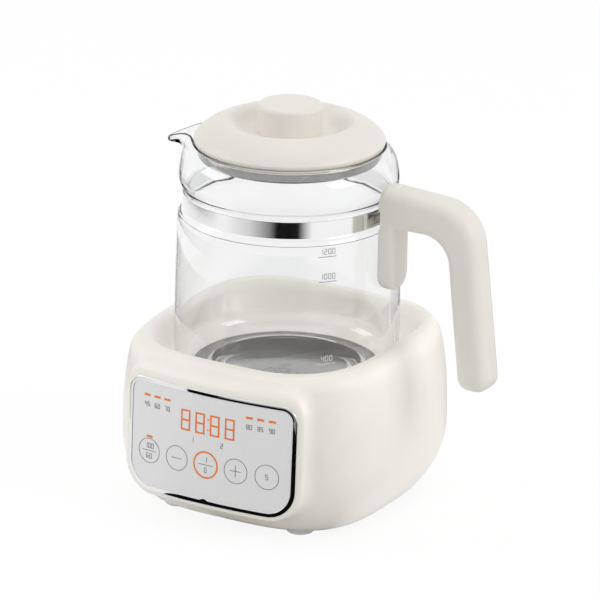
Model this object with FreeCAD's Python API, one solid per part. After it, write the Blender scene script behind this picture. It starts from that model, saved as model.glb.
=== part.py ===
"""Electric kettle for making up baby formula: a glass jug on a heated power base.

Millimetres, +Z up, with the table at zero. -Y is the front with the control panel,
+X the handle, -X the spout. The pieces are made round the axis of the jug, and at
the end all are moved so that the origin is under the middle of the whole kettle.
PIECES names each piece and the function that makes it.
"""
import FreeCAD
import Part
import math
import os

V = FreeCAD.Vector

# Driving dimensions: jug
jug_radius = 65.3
jug_wall = 2.4
jug_base_wall = 3.4
jug_base_corner = 11.5
jug_push_up = 1.5
jug_foot_in = 21.3
shoulder_z = 166.5
shoulder_in = 1.2
shoulder_drop = 7.9
waist_in = 4.3
waist_height = 12.4
bulge_in = 1.9
bulge_rise = 7.2
mouth_in = 9.4
mouth_rise = 19.4
mouth_round = 2.0
spout_out = 15.7
spout_lip = 10.2
spout_wall = 1.9

# Driving dimensions: power base
base_out = 18.5
base_top = 103.6
base_floor = 5.0
base_waist = 42.0
base_squareness = 3.3
shell_wall = 2.6
lower_round_in = 60.0
lower_round_up = 57.6
side_lean = 5.9
lean_power = 2.5
rim_round_in = 5.3
rim_round_up = 11.7
rim_width = 2.2

# Driving dimensions: well and hot plate
well_floor = 74.4
well_wall_gap = 2.4
well_floor_gap = 1.6
plate_in = 9.9
plate_thick = 1.2
plate_flange = 10.6
bead_width = 7.0
bead_depth = 1.7
gasket_thick = 0.8
gasket_width = 5.0
heater_in = 16.9
heater_tube = 4.2
heater_opening = 14.0
shield_depth = 15.0
shield_wall = 0.8
shield_flange = 6.0
sensor_x = 6.0
sensor_y = -20.0
sensor_radius = 11.0
sensor_proud = 1.3
sensor_wire = 1.0
sensor_turns = 4
fuse_length = 22.0

# Driving dimensions: band and handle
band_thick = 0.5
band_low_rise = 0.6
band_height = 9.6
ear_gap = 2.4
ear_length = 8.5
band_screw_radius = 1.5
screw_head_depth = 3.0
pad_half_width = 10.5
pad_below = 38.0
pad_above = 15.0
pad_out = 8.7
pad_round = 3.5
liner_thick = 1.4
arm_thick = 22.6
arm_below = 0.2
arm_slope = 0.062
grip_out = 58.4
grip_slope = 0.12
grip_thick = 20.2
grip_length = 108.0
bend_outer = 26.0
bend_inner = 16.5
grip_end_round = 8.0
grip_edge_round = 6.5

# Driving dimensions: lid
lid_in = 0.7
lid_edge_rise = 0.4
lid_edge_height = 1.4
lid_wall = 2.2
dish_in = 19.5
dish_rim_rise = 12.6
dish_depth = 6.8
dish_slope = 11.7
dome_bow = 1.6
knob_radius = 18.8
knob_rise = 9.8
knob_round = 2.2
knob_wall = 2.4
knob_screw_grip = 6.0
seal_height = 4.6
seal_width = 2.1
skirt_height = 4.8
skirt_wall = 0.7
lid_boss = 5.0

# Driving dimensions: control panel
panel_half_width = 55.4
panel_half_height = 33.8
panel_top_corner = 9.0
panel_low_corner = 17.3
panel_centre_z = 53.4
panel_out = 4.4
panel_lean = 2.3
panel_bow = 320.0
bezel_width = 1.9
bezel_depth = 3.0
bezel_proud = 0.8
pad_border = 3.2
pad_top_rise = 8.5
pad_edge_round = 2.2
touch_thick = 1.8
touch_sunk = 0.25
board_depth = 10.0
board_thick = 1.6
key_pitch = 19.4
key_drop = 9.0
key_radius = 5.0
digit_pitch = 9.8
digit_lift = 14.4
lamp_lift = 23.4
lamp_pitch = 7.0
lamp_offset = 33.5
lamp_half_width = 2.4

# Driving dimensions: feet, cover, boards and cord entry
foot_radius = 8.0
foot_in_x = 42.8
foot_in_y = 31.8
foot_sink = 1.2
cover_thick = 2.6
vent_pitch = 7.0
vent_length = 20.0
post_in_x = 33.8
post_in_y = 39.8
post_radius = 5.0
screw_radius = 1.6
screw_head = 1.1
cover_screw_length = 16.0
board_screw_length = 8.0
board_screw_grip = 4.0
power_board_y = 60.0
board_post_gap = 1.0
power_board_z = 17.0
power_board_in = 37.8
transformer_width = 22.0
transformer_height = 19.0
relay_width = 19.0
relay_height = 15.0
can_radius = 6.0
can_height = 18.0
buzzer_height = 8.5
terminal_width = 14.0
terminal_height = 9.0
gland_z = 36.0
gland_radius = 6.5
gland_bore = 3.4
gland_flange = 9.0
gland_flange_thick = 2.0
gland_out = 9.0
gland_in = 6.0

# Clearances
seat_gap = 0.3
fit_gap = 0.2
screw_gap = 0.15
thread_gap = 0.05
slide_gap = 0.35
stand_gap = 0.1

# Sizes that follow from them
waist_radius = jug_radius - waist_in
bulge_radius = jug_radius - bulge_in
mouth_radius = jug_radius - mouth_in
waist_low = shoulder_z + shoulder_drop
waist_high = waist_low + waist_height
bulge_z = waist_high + bulge_rise
mouth_z = bulge_z + mouth_rise
base_half = jug_radius + base_out
plate_radius = jug_radius - plate_in
plate_top = well_floor + gasket_thick + plate_thick
plate_under = plate_top - plate_thick - bead_depth - stand_gap
heater_radius = plate_radius - heater_in
shield_top = well_floor - shell_wall - stand_gap
shield_low = shield_top - shield_depth
shield_screw_x = plate_radius - 1.0
sensor_top = plate_top + sensor_proud
jug_foot_z = plate_top + stand_gap
band_low = waist_low + band_low_rise
band_high = band_low + band_height
pad_low = band_low - pad_below
pad_high = band_high + pad_above
pad_face = jug_radius + pad_out
seal_radius = mouth_radius - jug_wall - seat_gap
lid_radius = mouth_radius - lid_in
lid_edge_z = mouth_z + lid_edge_rise
dish_rim_z = lid_edge_z + dish_rim_rise
dish_radius = lid_radius - dish_in
dish_floor_z = dish_rim_z - dish_depth
dish_floor_radius = dish_radius - dish_slope
knob_top = dish_rim_z + knob_rise
panel_face_y = base_half + panel_out
foot_x = base_half - foot_in_x
foot_y = base_half - foot_in_y
post_x = base_half - post_in_x
post_y = base_half - post_in_y
power_board_x = 2 * (post_x - post_radius - board_post_gap)
power_board_back = base_half - power_board_in - power_board_y / 2
cover_top = base_floor + cover_thick
power_top = power_board_z + board_thick + stand_gap / 5


def outline(half, squareness, z, points=36):
    """Closed smooth curve of a rounded square; squareness 2 is a circle."""
    curve = []
    for i in range(points):
        turn = 2 * math.pi * i / points
        c = abs(math.cos(turn)) ** squareness
        s = abs(math.sin(turn)) ** squareness
        reach = half / (c + s) ** (1 / squareness)
        curve.append(V(reach * math.cos(turn), reach * math.sin(turn), z))
    spline = Part.BSplineCurve()
    spline.interpolate(curve, PeriodicFlag=True)
    return Part.Wire([spline.toShape()])


def loft(wires):
    return Part.makeLoft(wires, True, False)


def cylinder(radius, height, at, axis=V(0, 0, 1)):
    return Part.makeCylinder(radius, height, at, axis)


def box(x0, x1, y0, y1, z0, z1):
    return Part.makeBox(x1 - x0, y1 - y0, z1 - z0, V(x0, y0, z0))


def ring(outer, inner, z0, z1, x=0.0, y=0.0):
    height = z1 - z0
    return cylinder(outer, height, V(x, y, z0)).cut(cylinder(inner, height, V(x, y, z0)))


def line(a, b):
    return Part.LineSegment(a, b).toShape()


def arc(a, b, c):
    return Part.Arc(a, b, c).toShape()


def spline(points):
    curve = Part.BSplineCurve()
    curve.interpolate(points)
    return curve.toShape()


def turned(edges):
    """Solid of revolution about Z from a closed profile in the XZ plane."""
    face = Part.Face(Part.Wire(Part.__sortEdges__(edges)))
    solid = face.revolve(V(0, 0, 0), V(0, 0, 1), 360)
    return solid if isinstance(solid, Part.Solid) else Part.Solid(solid.Shells[0])


def profile(points):
    """Closed profile of straight runs through (radius, height) pairs."""
    corners = [V(r, 0, z) for r, z in points]
    return [line(a, b) for a, b in zip(corners, corners[1:] + corners[:1])]


def rounded(corners):
    """Closed wire in the XZ plane through (x, z, rounding) corners."""
    points = [V(x, 0, z) for x, z, r in corners]
    bends = []
    for i, (x, z, r) in enumerate(corners):
        back = (points[i - 1] - points[i]).normalize()
        on = (points[(i + 1) % len(points)] - points[i]).normalize()
        half = back.getAngle(on) / 2
        reach = r / math.tan(half)
        middle = (back + on).normalize()
        crown = points[i] + middle * (r / math.sin(half) - r)
        bends.append((points[i] + back * reach, crown, points[i] + on * reach))
    edges = []
    for i, (a, b, c) in enumerate(bends):
        edges.append(line(bends[i - 1][2], a))
        if corners[i][2]:
            edges.append(arc(a, b, c))
    return Part.Wire(Part.__sortEdges__(edges))


def fuse(shapes):
    whole = shapes[0]
    for shape in shapes[1:]:
        whole = whole.fuse(shape)
    return whole.removeSplitter()


def mirrored_four(make):
    return [make(sx, sy) for sx in (-1, 1) for sy in (-1, 1)]


# Power base

def side_inset(z):
    """How far the side stands in from the widest outline at a height."""
    if z < base_waist:
        down = (base_waist - z) / lower_round_up
        return lower_round_in * (1 - math.sqrt(1 - down * down))
    up = (z - base_waist) / (base_top - base_waist)
    crest = max(0.0, (z - (base_top - rim_round_up)) / rim_round_up)
    return side_lean * up ** lean_power + rim_round_in * (1 - math.sqrt(max(0.0, 1 - crest * crest)))


def body_heights(top):
    """Section heights: even up the side, closer where the rim rounds over."""
    side = [base_floor + share * (base_waist - base_floor) for share in (0, 0.11, 0.24, 0.43, 0.68)]
    bend = base_top - rim_round_up
    side += [base_waist + (bend - base_waist) * i / 3 for i in range(4)]
    rim = [bend + rim_round_up * math.sin(math.radians(a)) for a in (25, 48, 68, 90)]
    return [z for z in side + rim if z < top - 0.5] + [top]


def body(wall=0.0, top=base_top):
    """Outer form of the base, or its hollow when a wall is given."""
    wires = []
    for z in body_heights(top):
        wires.append(outline(base_half - side_inset(z) - wall, base_squareness, z))
    return loft(wires)


def well_sections():
    """(height, half width, squareness) from the plate up over the rim's inner edge."""
    crest = base_half - side_inset(base_top) - rim_width
    near = jug_radius + well_wall_gap
    floor = plate_radius + well_floor_gap
    rise = base_top - well_floor
    square = base_squareness - 2
    return [
        (well_floor, floor, 2.0),
        (well_floor + 0.12 * rise, floor + 0.45 * (near - floor), 2.0 + 0.04 * square),
        (well_floor + 0.36 * rise, near - 0.09 * (near - floor), 2.0 + 0.22 * square),
        (well_floor + 0.64 * rise, near + 0.03 * (near - floor), 2.0 + 0.55 * square),
        (well_floor + 0.84 * rise, near + 0.28 * (crest - near), 2.0 + 0.8 * square),
        (well_floor + 0.95 * rise, near + 0.62 * (crest - near), 2.0 + 0.95 * square),
        (base_top, crest, base_squareness),
    ]


def well(skin=0.0):
    """The space of the well, or with a skin the space and its wall."""
    sections = well_sections()
    if skin:
        z, half, power = sections[0]
        sections = [(z - skin, half, power)] + sections
    return loft([outline(half + skin, power, z) for z, half, power in sections])


def panel_place(shape):
    """Moves a shape from the panel's own frame to the leaning front of the base."""
    placed = shape.copy()
    placed.rotate(V(0, 0, 0), V(1, 0, 0), -panel_lean)
    placed.translate(V(0, -panel_face_y, panel_centre_z))
    return placed


def slab(grow, front, back, bowed=True, raised=0.0):
    """Plate of the panel's outline, grown all round, from depth front to depth back."""
    x, z = panel_half_width + grow, panel_half_height + grow
    top = z + raised
    high, low = max(panel_top_corner + grow + raised, 2.0), panel_low_corner + grow
    wire = rounded([(x, top, high), (-x, top, high), (-x, -z, low), (x, -z, low)])
    wire.translate(V(0, -5, 0))
    prism = Part.Face(wire).extrude(V(0, 60, 0))
    if not bowed:
        return prism.common(box(-x - 1, x + 1, front, back, -z - 1, z + 1))
    axis = V(0, panel_bow, -z - 2)
    far = 2 * z + raised + 4
    return prism.common(cylinder(panel_bow - front, far, axis).cut(cylinder(panel_bow - back, far, axis)))


def bow_at(x):
    """Depth of the bowed face at a place across the panel."""
    return panel_bow - math.sqrt(panel_bow ** 2 - x ** 2)


def panel_pad():
    """Raised block that carries the panel; its top rolls back into the rim."""
    front = bezel_proud
    block = slab(pad_border, front, front + 40, raised=pad_top_rise)
    far = front + bow_at(panel_half_width + pad_border) + 0.1
    block = block.makeFillet(pad_edge_round, [e for e in block.Edges if e.BoundBox.YMax < far])
    r = pad_top_rise + 1.0
    z = panel_half_height + pad_border - 1.0
    side = 2 * panel_half_width
    roll = cylinder(r, 2 * side, V(-side, front + r, z), V(1, 0, 0))
    under = box(-side, side, -10, 100, -side, z)
    behind = box(-side, side, front + r, 100, z - 1, z + r)
    return block.common(roll.fuse(under).fuse(behind))


def panel_openings():
    """What is taken out of the pad: bezel seat, window and board space."""
    seat = slab(fit_gap, -2.0, bezel_depth)
    window = slab(-bezel_width - 3.0, 0.0, board_depth, bowed=False)
    space = slab(-1.0, board_depth, board_depth + 24, bowed=False)
    return [panel_place(s) for s in (seat, window, space)]


def base_housing():
    side = base_half + 10
    front = box(-side, side, -2 * side, -side / 2, base_floor + 3, base_top - 1)
    pad = panel_place(panel_pad()).common(front)
    outer = body().fuse(pad)
    ceiling = base_top - 1.5 * shell_wall
    hollow = body(shell_wall, ceiling).cut(well(shell_wall))
    low = base_floor + cover_thick + fit_gap
    tall = ceiling + 0.5 - low

    def post(sx, sy):
        return cylinder(post_radius, tall, V(sx * post_x, sy * post_y, low))

    shell = fuse([outer.cut(hollow)] + mirrored_four(post)).cut(well())
    hole = plate_radius - gasket_width
    shell = shell.cut(cylinder(hole, 3 * shell_wall, V(0, 0, well_floor - 2 * shell_wall)))
    for opening in panel_openings():
        shell = shell.cut(opening)
    for sx in (-1, 1):
        for sy in (-1, 1):
            at = V(sx * post_x, sy * post_y, low)
            shell = shell.cut(cylinder(screw_radius, cover_screw_length + 4, at))
        pilot = V(sx * shield_screw_x, 0, well_floor - shell_wall - 1)
        shell = shell.cut(cylinder(screw_radius, shell_wall, pilot))
    for x, z in board_corners():
        pilot = cylinder(screw_radius, board_depth, V(x, board_depth - board_screw_grip - 0.5, z), V(0, 1, 0))
        shell = shell.cut(panel_place(pilot))
    inside = V(0, gland_back() - 2 * gland_out, gland_z)
    shell = shell.cut(cylinder(gland_radius, 4 * gland_out, inside, V(0, 1, 0)))
    return max(shell.Solids, key=lambda s: s.Volume)


def bottom_cover():
    half = base_half - side_inset(cover_top) - shell_wall - fit_gap
    low = base_half - side_inset(base_floor) - shell_wall - fit_gap
    plate = loft([outline(low, base_squareness, base_floor), outline(half, base_squareness, cover_top)])
    for x, y in board_posts():
        plate = plate.fuse(cylinder(post_radius - 1.5, power_board_z - cover_top, V(x, y, cover_top)))
        plate = plate.cut(cylinder(screw_radius, power_board_z - cover_top, V(x, y, cover_top + 1)))
    for sx in (-1, 1):
        for sy in (-1, 1):
            x, y = sx * post_x, sy * post_y
            plate = plate.cut(cylinder(screw_radius + screw_gap, 3 * cover_thick, V(x, y, base_floor - 3)))
            plate = plate.cut(cylinder(2 * screw_radius + fit_gap, 1.2, V(x, y, base_floor)))
            x, y = sx * foot_x, sy * foot_y
            plate = plate.cut(cylinder(foot_radius + fit_gap, foot_sink, V(x, y, base_floor)))
            plate = plate.cut(cylinder(foot_radius / 3, 3 * cover_thick, V(x, y, base_floor - 3)))
    y = -foot_y + foot_radius + 2.0
    for i in range(-3, 4):
        x = vent_pitch * i
        plate = plate.cut(box(x - 1.2, x + 1.2, y, y + vent_length, base_floor - 1, cover_top + 1))
    return plate


def rubber_feet():
    def foot(sx, sy):
        x, y = sx * foot_x, sy * foot_y
        pad = cylinder(foot_radius, base_floor + foot_sink, V(x, y, 0))
        pad = pad.makeFillet(1.2, [e for e in pad.Edges if e.BoundBox.ZMax < 0.1])
        stem = cylinder(foot_radius / 3, cover_thick + 1.0, V(x, y, base_floor))
        barb = cylinder(foot_radius / 3 + 0.8, 1.0, V(x, y, base_floor + cover_thick + 0.1))
        return fuse([pad, stem, barb])

    return Part.Compound(mirrored_four(foot))


def screw(x, y, z, up, length, radius=screw_radius, head=None):
    """Pan-head screw with its head's outer face at z, driven up or down."""
    head = head or 2 * radius
    side = 1 if up else -1
    axis = V(0, 0, side)
    body_part = cylinder(radius - thread_gap, length, V(x, y, z), axis)
    cap = cylinder(head, screw_head, V(x, y, z), axis)
    slot = box(x - head, x + head, y - 0.35, y + 0.35, z - 0.5, z + 0.5)
    return body_part.fuse(cap).cut(slot)


def cover_screws():
    def one(sx, sy):
        return screw(sx * post_x, sy * post_y, base_floor + thread_gap, True, cover_screw_length)

    return Part.Compound(mirrored_four(one))


def gland_back():
    """Where the back of the base stands at the height of the cord."""
    return base_half - side_inset(gland_z)


def cord_gland():
    """Stepped bush: a lip inside the wall, a flange outside it and a nose."""
    y = V(0, 1, 0)
    start = base_half + stand_gap
    inside = gland_back() - gland_in
    tip = start + gland_out
    barrel = cylinder(gland_radius - fit_gap, start - inside, V(0, inside, gland_z), y)
    flange = cylinder(gland_flange, gland_flange_thick, V(0, start, gland_z), y)
    nose = Part.makeCone(gland_radius, gland_bore + 1.2, tip - start - gland_flange_thick,
                         V(0, start + gland_flange_thick, gland_z), y)
    lip = cylinder(gland_radius + 1.2, 1.6, V(0, inside, gland_z), y)
    return fuse([barrel, flange, nose, lip]).cut(cylinder(gland_bore, 2 * base_half, V(0, 0, gland_z), y))


# Hot plate and what is under it

def hot_plate():
    top = plate_top
    low = plate_top - plate_thick
    b0 = plate_radius - plate_flange
    b1 = b0 - bead_width
    d = bead_depth
    upper = [(0, top - 0.6), (b1 - 1.5, top - 0.2), (b1, top), (b1 + 0.8, top - d), (b0 - 0.8, top - d),
             (b0, top), (plate_radius, top), (plate_radius, low)]
    lower = [(b0 + 1.0, low), (b0 + 0.2, low - d), (b1 - 0.2, low - d), (b1 - 1.0, low), (0, low - 0.6)]
    plate = turned(profile(upper + lower))
    return plate.cut(cylinder(sensor_radius + slide_gap, 8, V(sensor_x, sensor_y, low - 3)))


def plate_gasket():
    return ring(plate_radius, plate_radius - gasket_width, well_floor, well_floor + gasket_thick)


def heating_element():
    """Horseshoe of sheathed element pressed flat against the plate."""
    z = plate_under
    far = 2 * plate_radius
    tube = Part.makeTorus(heater_radius, heater_tube, V(0, 0, z - heater_tube))
    gap = box(-heater_opening / 2, heater_opening / 2, 0, far, z - 20, z + 5)
    return tube.cut(gap).cut(box(-far, far, -far, far, z - 0.8, z + 9))


def heater_terminals():
    z = plate_under - heater_tube
    half = heater_opening / 2
    y = math.sqrt(heater_radius ** 2 - half ** 2)
    pins = []
    for s in (-1, 1):
        pin = cylinder(1.6, half - 0.6, V(s * (half - stand_gap), y + 0.4, z), V(-s, 0, 0))
        tab = box(s * 2.2 - 1.2, s * 2.2 + 1.2, y, y + 9, z - 0.4, z + 0.4)
        pins.append(pin.fuse(tab))
    return Part.Compound(pins)


def heat_shield():
    """Shallow pan that hangs from the well's floor round the element."""
    top, low, wall = shield_top, shield_low, shield_wall
    outer = plate_radius + 2.0
    side = outer - shield_flange
    pan = turned(profile([(0, low), (side, low), (side, top - wall), (outer, top - wall), (outer, top),
                          (side - wall, top), (side - wall, low + wall), (0, low + wall)]))
    for sx in (-1, 1):
        pan = pan.cut(cylinder(screw_radius + screw_gap, 9, V(sx * shield_screw_x, 0, top - 5)))
    pan = pan.cut(cylinder(sensor_radius + 1.0, 9, V(sensor_x, sensor_y, low - 4)))
    return pan.cut(cylinder(heater_opening / 2, 9, V(0, heater_radius, low - 4)))


def shield_screws():
    z = shield_top - shield_wall - screw_head - thread_gap
    length = screw_head + shield_wall + shell_wall - 1.0
    return Part.Compound([screw(s * shield_screw_x, 0, z, True, length, head=2.4) for s in (-1, 1)])


def sensor_sleeve():
    """Guide tube for the sprung sensor, held in the floor of the shield."""
    inside = sensor_radius - 2.6
    outside = sensor_radius + 0.9
    low = shield_low - 0.2 * shield_depth
    tube = ring(outside, inside + slide_gap, low, low + 0.65 * shield_depth, sensor_x, sensor_y)
    lip = ring(outside + 1.6, outside - 0.2, shield_low - 1.7, shield_low - stand_gap, sensor_x, sensor_y)
    floor = cylinder(outside, 1.4, V(sensor_x, sensor_y, low - 1.4))
    return fuse([tube, lip, floor])


def sensor_cap():
    """Dished steel cap that the jug presses on, and its stem."""
    top = sensor_top
    skirt = ring(sensor_radius, sensor_radius - 0.8, top - 5.4, top - 0.5, sensor_x, sensor_y)
    face = cylinder(sensor_radius, 1.0, V(sensor_x, sensor_y, top - 1.0))
    face = face.makeFillet(0.5, [e for e in face.Edges if e.BoundBox.ZMin > top - 0.1])
    cap = fuse([skirt, face])
    foot = shield_low + 0.2 * shield_depth
    return cap.fuse(cylinder(2.4, top - 0.5 - foot, V(sensor_x, sensor_y, foot)))


def sensor_spring():
    """Open coil between the sleeve's floor and the cap, drawn in quarter turns."""
    low = shield_low - 0.2 * shield_depth + sensor_wire / 2 + stand_gap
    high = sensor_top - 1.0 - sensor_wire / 2 - stand_gap
    radius = sensor_radius - 4.2
    count = max(4, round(4 * sensor_turns))

    def place(step):
        angle = 2 * math.pi * sensor_turns * step / count
        return V(sensor_x + radius * math.cos(angle), sensor_y + radius * math.sin(angle),
                 low + (high - low) * step / count)

    arcs = [Part.Arc(place(i), place(i + 0.5), place(i + 1)).toShape() for i in range(count)]
    circle = Part.Wire([Part.makeCircle(sensor_wire / 2, place(0), V(0, 1, 0))])
    return Part.Wire(arcs).makePipeShell([circle], True, False)


def thermal_fuse():
    z = shield_low + shield_wall + thread_gap
    half = fuse_length / 2
    clip = box(-half - 5, 7 - half, -3.0, 3.0, z, z + 4.2)
    lead = cylinder(2.0, fuse_length, V(-2 * half + 1, 0, z + 2.6), V(1, 0, 0))
    whole = clip.fuse(lead)
    whole.translate(V(-1, 8, 0))
    return whole


# Control panel

def panel_bezel():
    frame = slab(0.0, 0.0, bezel_depth).cut(slab(-bezel_width, -2.0, bezel_depth + 9))
    low = -panel_half_height
    notch = Part.makeCone(2.4, 0.6, 2.4, V(0, -0.4, low - 0.2), V(0, 0, 1))
    return panel_place(frame.cut(notch.common(box(-3, 3, -3, 1.2, low - 1, 0))))


def touch_panel():
    return panel_place(slab(-bezel_width - stand_gap, touch_sunk, touch_sunk + touch_thick))


def key_places():
    return [(key_pitch * i, -key_drop) for i in range(-2, 3)]


def lamp_places():
    row = [(s * (lamp_offset + lamp_pitch * i), lamp_lift) for s in (-1, 1) for i in (-1, 0, 1)]
    return row + [(-2 * key_pitch, -key_drop + 10.4)]


def board_corners():
    """Screw places of the display board, between the window and the space behind."""
    high = panel_half_height - 4.6
    return [(sx * x, z) for sx in (-1, 1) for x, z in ((0.45 * panel_half_width, high), (38.0, -high))]


def display_board():
    board = slab(-1.0 - fit_gap, board_depth + thread_gap, board_depth + board_thick, bowed=False)
    for x, z in board_corners():
        board = board.cut(cylinder(screw_radius, 9, V(x, board_depth - 3, z), V(0, 1, 0)))
    return panel_place(board)


def panel_back(x):
    """Depth of the touch panel's back at a place across the panel, with a gap."""
    return touch_sunk + touch_thick + bow_at(abs(x)) + stand_gap


def behind_panel(x, z, half_w, half_h):
    """Block between the touch panel's back and the display board."""
    return box(x - half_w, x + half_w, panel_back(abs(x) + half_w), board_depth, z - half_h, z + half_h)


def digit_display():
    block = behind_panel(0, digit_lift, 2 * digit_pitch, 7.5)
    front = block.BoundBox.YMin
    for i in range(4):
        x = (i - 1.5) * digit_pitch
        for z in (digit_lift - 2.9, digit_lift + 2.9):
            block = block.cut(box(x - 1.6, x + 1.6, front - 1, front + 0.4, z - 1.9, z + 1.9))
    return panel_place(block)


def touch_springs():
    springs = []
    for x, z in key_places():
        front = panel_back(abs(x) + key_radius)
        tube = cylinder(key_radius, board_depth - front, V(x, front, z), V(0, 1, 0))
        bore = cylinder(key_radius - 1.0, board_depth, V(x, front + 1.0, z), V(0, 1, 0))
        springs.append(panel_place(tube.cut(bore)))
    return Part.Compound(springs)


def indicator_lamps():
    lamps = [behind_panel(x, z, lamp_half_width, 1.0) for x, z in lamp_places()]
    return Part.Compound([panel_place(lamp) for lamp in lamps])


def board_screws():
    shapes = []
    for x, z in board_corners():
        seat = board_depth + board_thick + stand_gap / 5
        length = seat - board_depth + board_screw_grip
        shank = cylinder(screw_radius - thread_gap, length, V(x, seat, z), V(0, -1, 0))
        head = cylinder(1.6 * screw_radius, screw_head, V(x, seat, z), V(0, 1, 0))
        shapes.append(panel_place(shank.fuse(head)))
    return Part.Compound(shapes)


# Power electronics on the bottom cover

def board_posts():
    x = power_board_x / 2 - post_radius
    y = power_board_y / 2 - post_radius
    return [(sx * x, power_board_back + sy * y) for sx in (-1, 1) for sy in (-1, 1)]


def power_board():
    x, y = power_board_x / 2, power_board_y / 2
    board = box(-x, x, power_board_back - y, power_board_back + y, power_board_z + stand_gap / 5,
                power_board_z + board_thick)
    for px, py in board_posts():
        board = board.cut(cylinder(screw_radius, 9, V(px, py, power_board_z - 3)))
    return board


def power_board_screws():
    z = power_top + screw_head
    radius = screw_radius - thread_gap
    return Part.Compound([screw(x, y, z, False, board_screw_length, radius, 2.9) for x, y in board_posts()])


def on_board(x, y, width, length, height):
    """Block on the power board, its middle at shares of the board's size."""
    x *= power_board_x
    y = power_board_back + y * power_board_y
    return box(x - width / 2, x + width / 2, y - length / 2, y + length / 2, power_top, power_top + height)


def can_on_board(x, y, radius, height):
    at = V(x * power_board_x, power_board_back + y * power_board_y, power_top)
    return cylinder(radius, height, at)


def transformer():
    width = transformer_width
    core = on_board(-0.27, 0.13, width, 0.82 * width, transformer_height)
    coil = on_board(-0.27, 0.13, 0.73 * width, 1.18 * width, 0.8 * transformer_height)
    return core.fuse(coil)


def relay():
    can = on_board(0.12, 0.22, relay_width, 0.8 * relay_width, relay_height)
    return can.makeFillet(0.8, [e for e in can.Edges if e.BoundBox.ZLength > relay_height / 2])


def filter_capacitor():
    can = can_on_board(0.05, -0.27, can_radius, can_height)
    return can.makeFillet(0.8, [e for e in can.Edges if e.BoundBox.ZMin > power_top + can_height - 1])


def buzzer():
    can = can_on_board(0.3, -0.27, can_radius, buzzer_height)
    hole = can_on_board(0.3, -0.27, can_radius / 5, buzzer_height)
    hole.translate(V(0, 0, buzzer_height - 2))
    return can.cut(hole)


def mains_terminals():
    width = terminal_width
    block = on_board(0.38, 0.1, width, 0.7 * width, terminal_height)
    for s in (-1, 1):
        hole = can_on_board(0.38, 0.1, 0.13 * width, terminal_height)
        hole.translate(V(s * width / 4, 0, 0.65 * terminal_height))
        block = block.cut(hole)
    return block


# Jug

def side_points(r, foot):
    """Points up the nearly straight side, from above the foot to the shoulder."""
    rise = shoulder_z - foot
    return [V(r, 0, foot + 0.42 * rise), V(r - 0.25 * shoulder_in, 0, foot + 0.7 * rise),
            V(r - shoulder_in, 0, shoulder_z)]


def foot_arc(r, foot, corner):
    t = corner * (1 - math.sqrt(0.5))
    return arc(V(r - corner, 0, foot), V(r - t, 0, foot + t), V(r, 0, foot + corner))


def jug_body():
    """Outer form of the turned glass with a flat top at the mouth."""
    foot = jug_foot_z
    corner = jug_base_corner
    r = jug_radius
    foot_ring = r - jug_foot_in
    m = mouth_radius
    n = mouth_round
    drop = waist_low - shoulder_z
    rise = mouth_z - bulge_z
    side = spline([V(r, 0, foot + corner)] + side_points(r, foot))
    shoulder = spline([V(r - shoulder_in, 0, shoulder_z),
                       V(waist_radius + 0.6 * (waist_in - shoulder_in), 0, shoulder_z + 0.7 * drop),
                       V(waist_radius, 0, waist_low)])
    bulge = spline([V(waist_radius, 0, waist_high),
                    V(waist_radius + 0.67 * (waist_in - bulge_in), 0, waist_high + 0.33 * bulge_rise),
                    V(bulge_radius, 0, bulge_z), V(m + 0.79 * (bulge_radius - m), 0, bulge_z + 0.47 * rise),
                    V(m + 0.37 * (bulge_radius - m), 0, bulge_z + 0.74 * rise), V(m, 0, mouth_z - n)])
    axis_z = foot + jug_push_up
    return turned([
        line(V(0, 0, axis_z), V(foot_ring - 4, 0, axis_z)),
        line(V(foot_ring - 4, 0, axis_z), V(foot_ring, 0, foot)),
        line(V(foot_ring, 0, foot), V(r - corner, 0, foot)),
        foot_arc(r, foot, corner), side, shoulder,
        line(V(waist_radius, 0, waist_low), V(waist_radius, 0, waist_high)), bulge,
        arc(V(m, 0, mouth_z - n), V(m - 0.25 * n, 0, mouth_z - 0.3 * n), V(m - 0.7 * n, 0, mouth_z)),
        line(V(m - 0.7 * n, 0, mouth_z), V(0, 0, mouth_z)),
        line(V(0, 0, mouth_z), V(0, 0, axis_z))])


def jug_hollow():
    """Inside of the glass, open through the mouth."""
    w = jug_wall
    foot = jug_foot_z + jug_push_up + jug_base_wall - 1.0
    corner = jug_base_corner - w
    r = jug_radius - w
    neck = mouth_radius - w
    waist = waist_radius - w
    belly = bulge_radius - w
    rise = mouth_z - bulge_z
    above = mouth_z + 3
    side = spline([V(r, 0, foot + corner)] + side_points(r, foot) + [
        V(waist + 0.14 * waist_in, 0, waist_low - 0.6), V(waist, 0, waist_low + 3),
        V(waist, 0, waist_high - 3), V(waist + 0.2 * (belly - waist), 0, waist_high + 0.4),
        V(belly - 0.08 * (belly - waist), 0, bulge_z - 1.6), V(belly, 0, bulge_z + 0.8),
        V(belly - 0.32 * (belly - neck), 0, bulge_z + 0.5 * rise),
        V(neck + 0.21 * (belly - neck), 0, bulge_z + 0.78 * rise), V(neck, 0, mouth_z - 2.2)])
    return turned([
        line(V(0, 0, foot), V(r - corner, 0, foot)), foot_arc(r, foot, corner), side,
        line(V(neck, 0, mouth_z - 2.2), V(neck, 0, above)),
        line(V(neck, 0, above), V(0, 0, above)), line(V(0, 0, above), V(0, 0, foot))])


def spout_section(x, half, top, bottom):
    a = V(-x, -half, top)
    b = V(-x, 0, bottom)
    c = V(-x, half, top)
    return Part.Wire([arc(a, b, c), line(c, a)])


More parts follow.
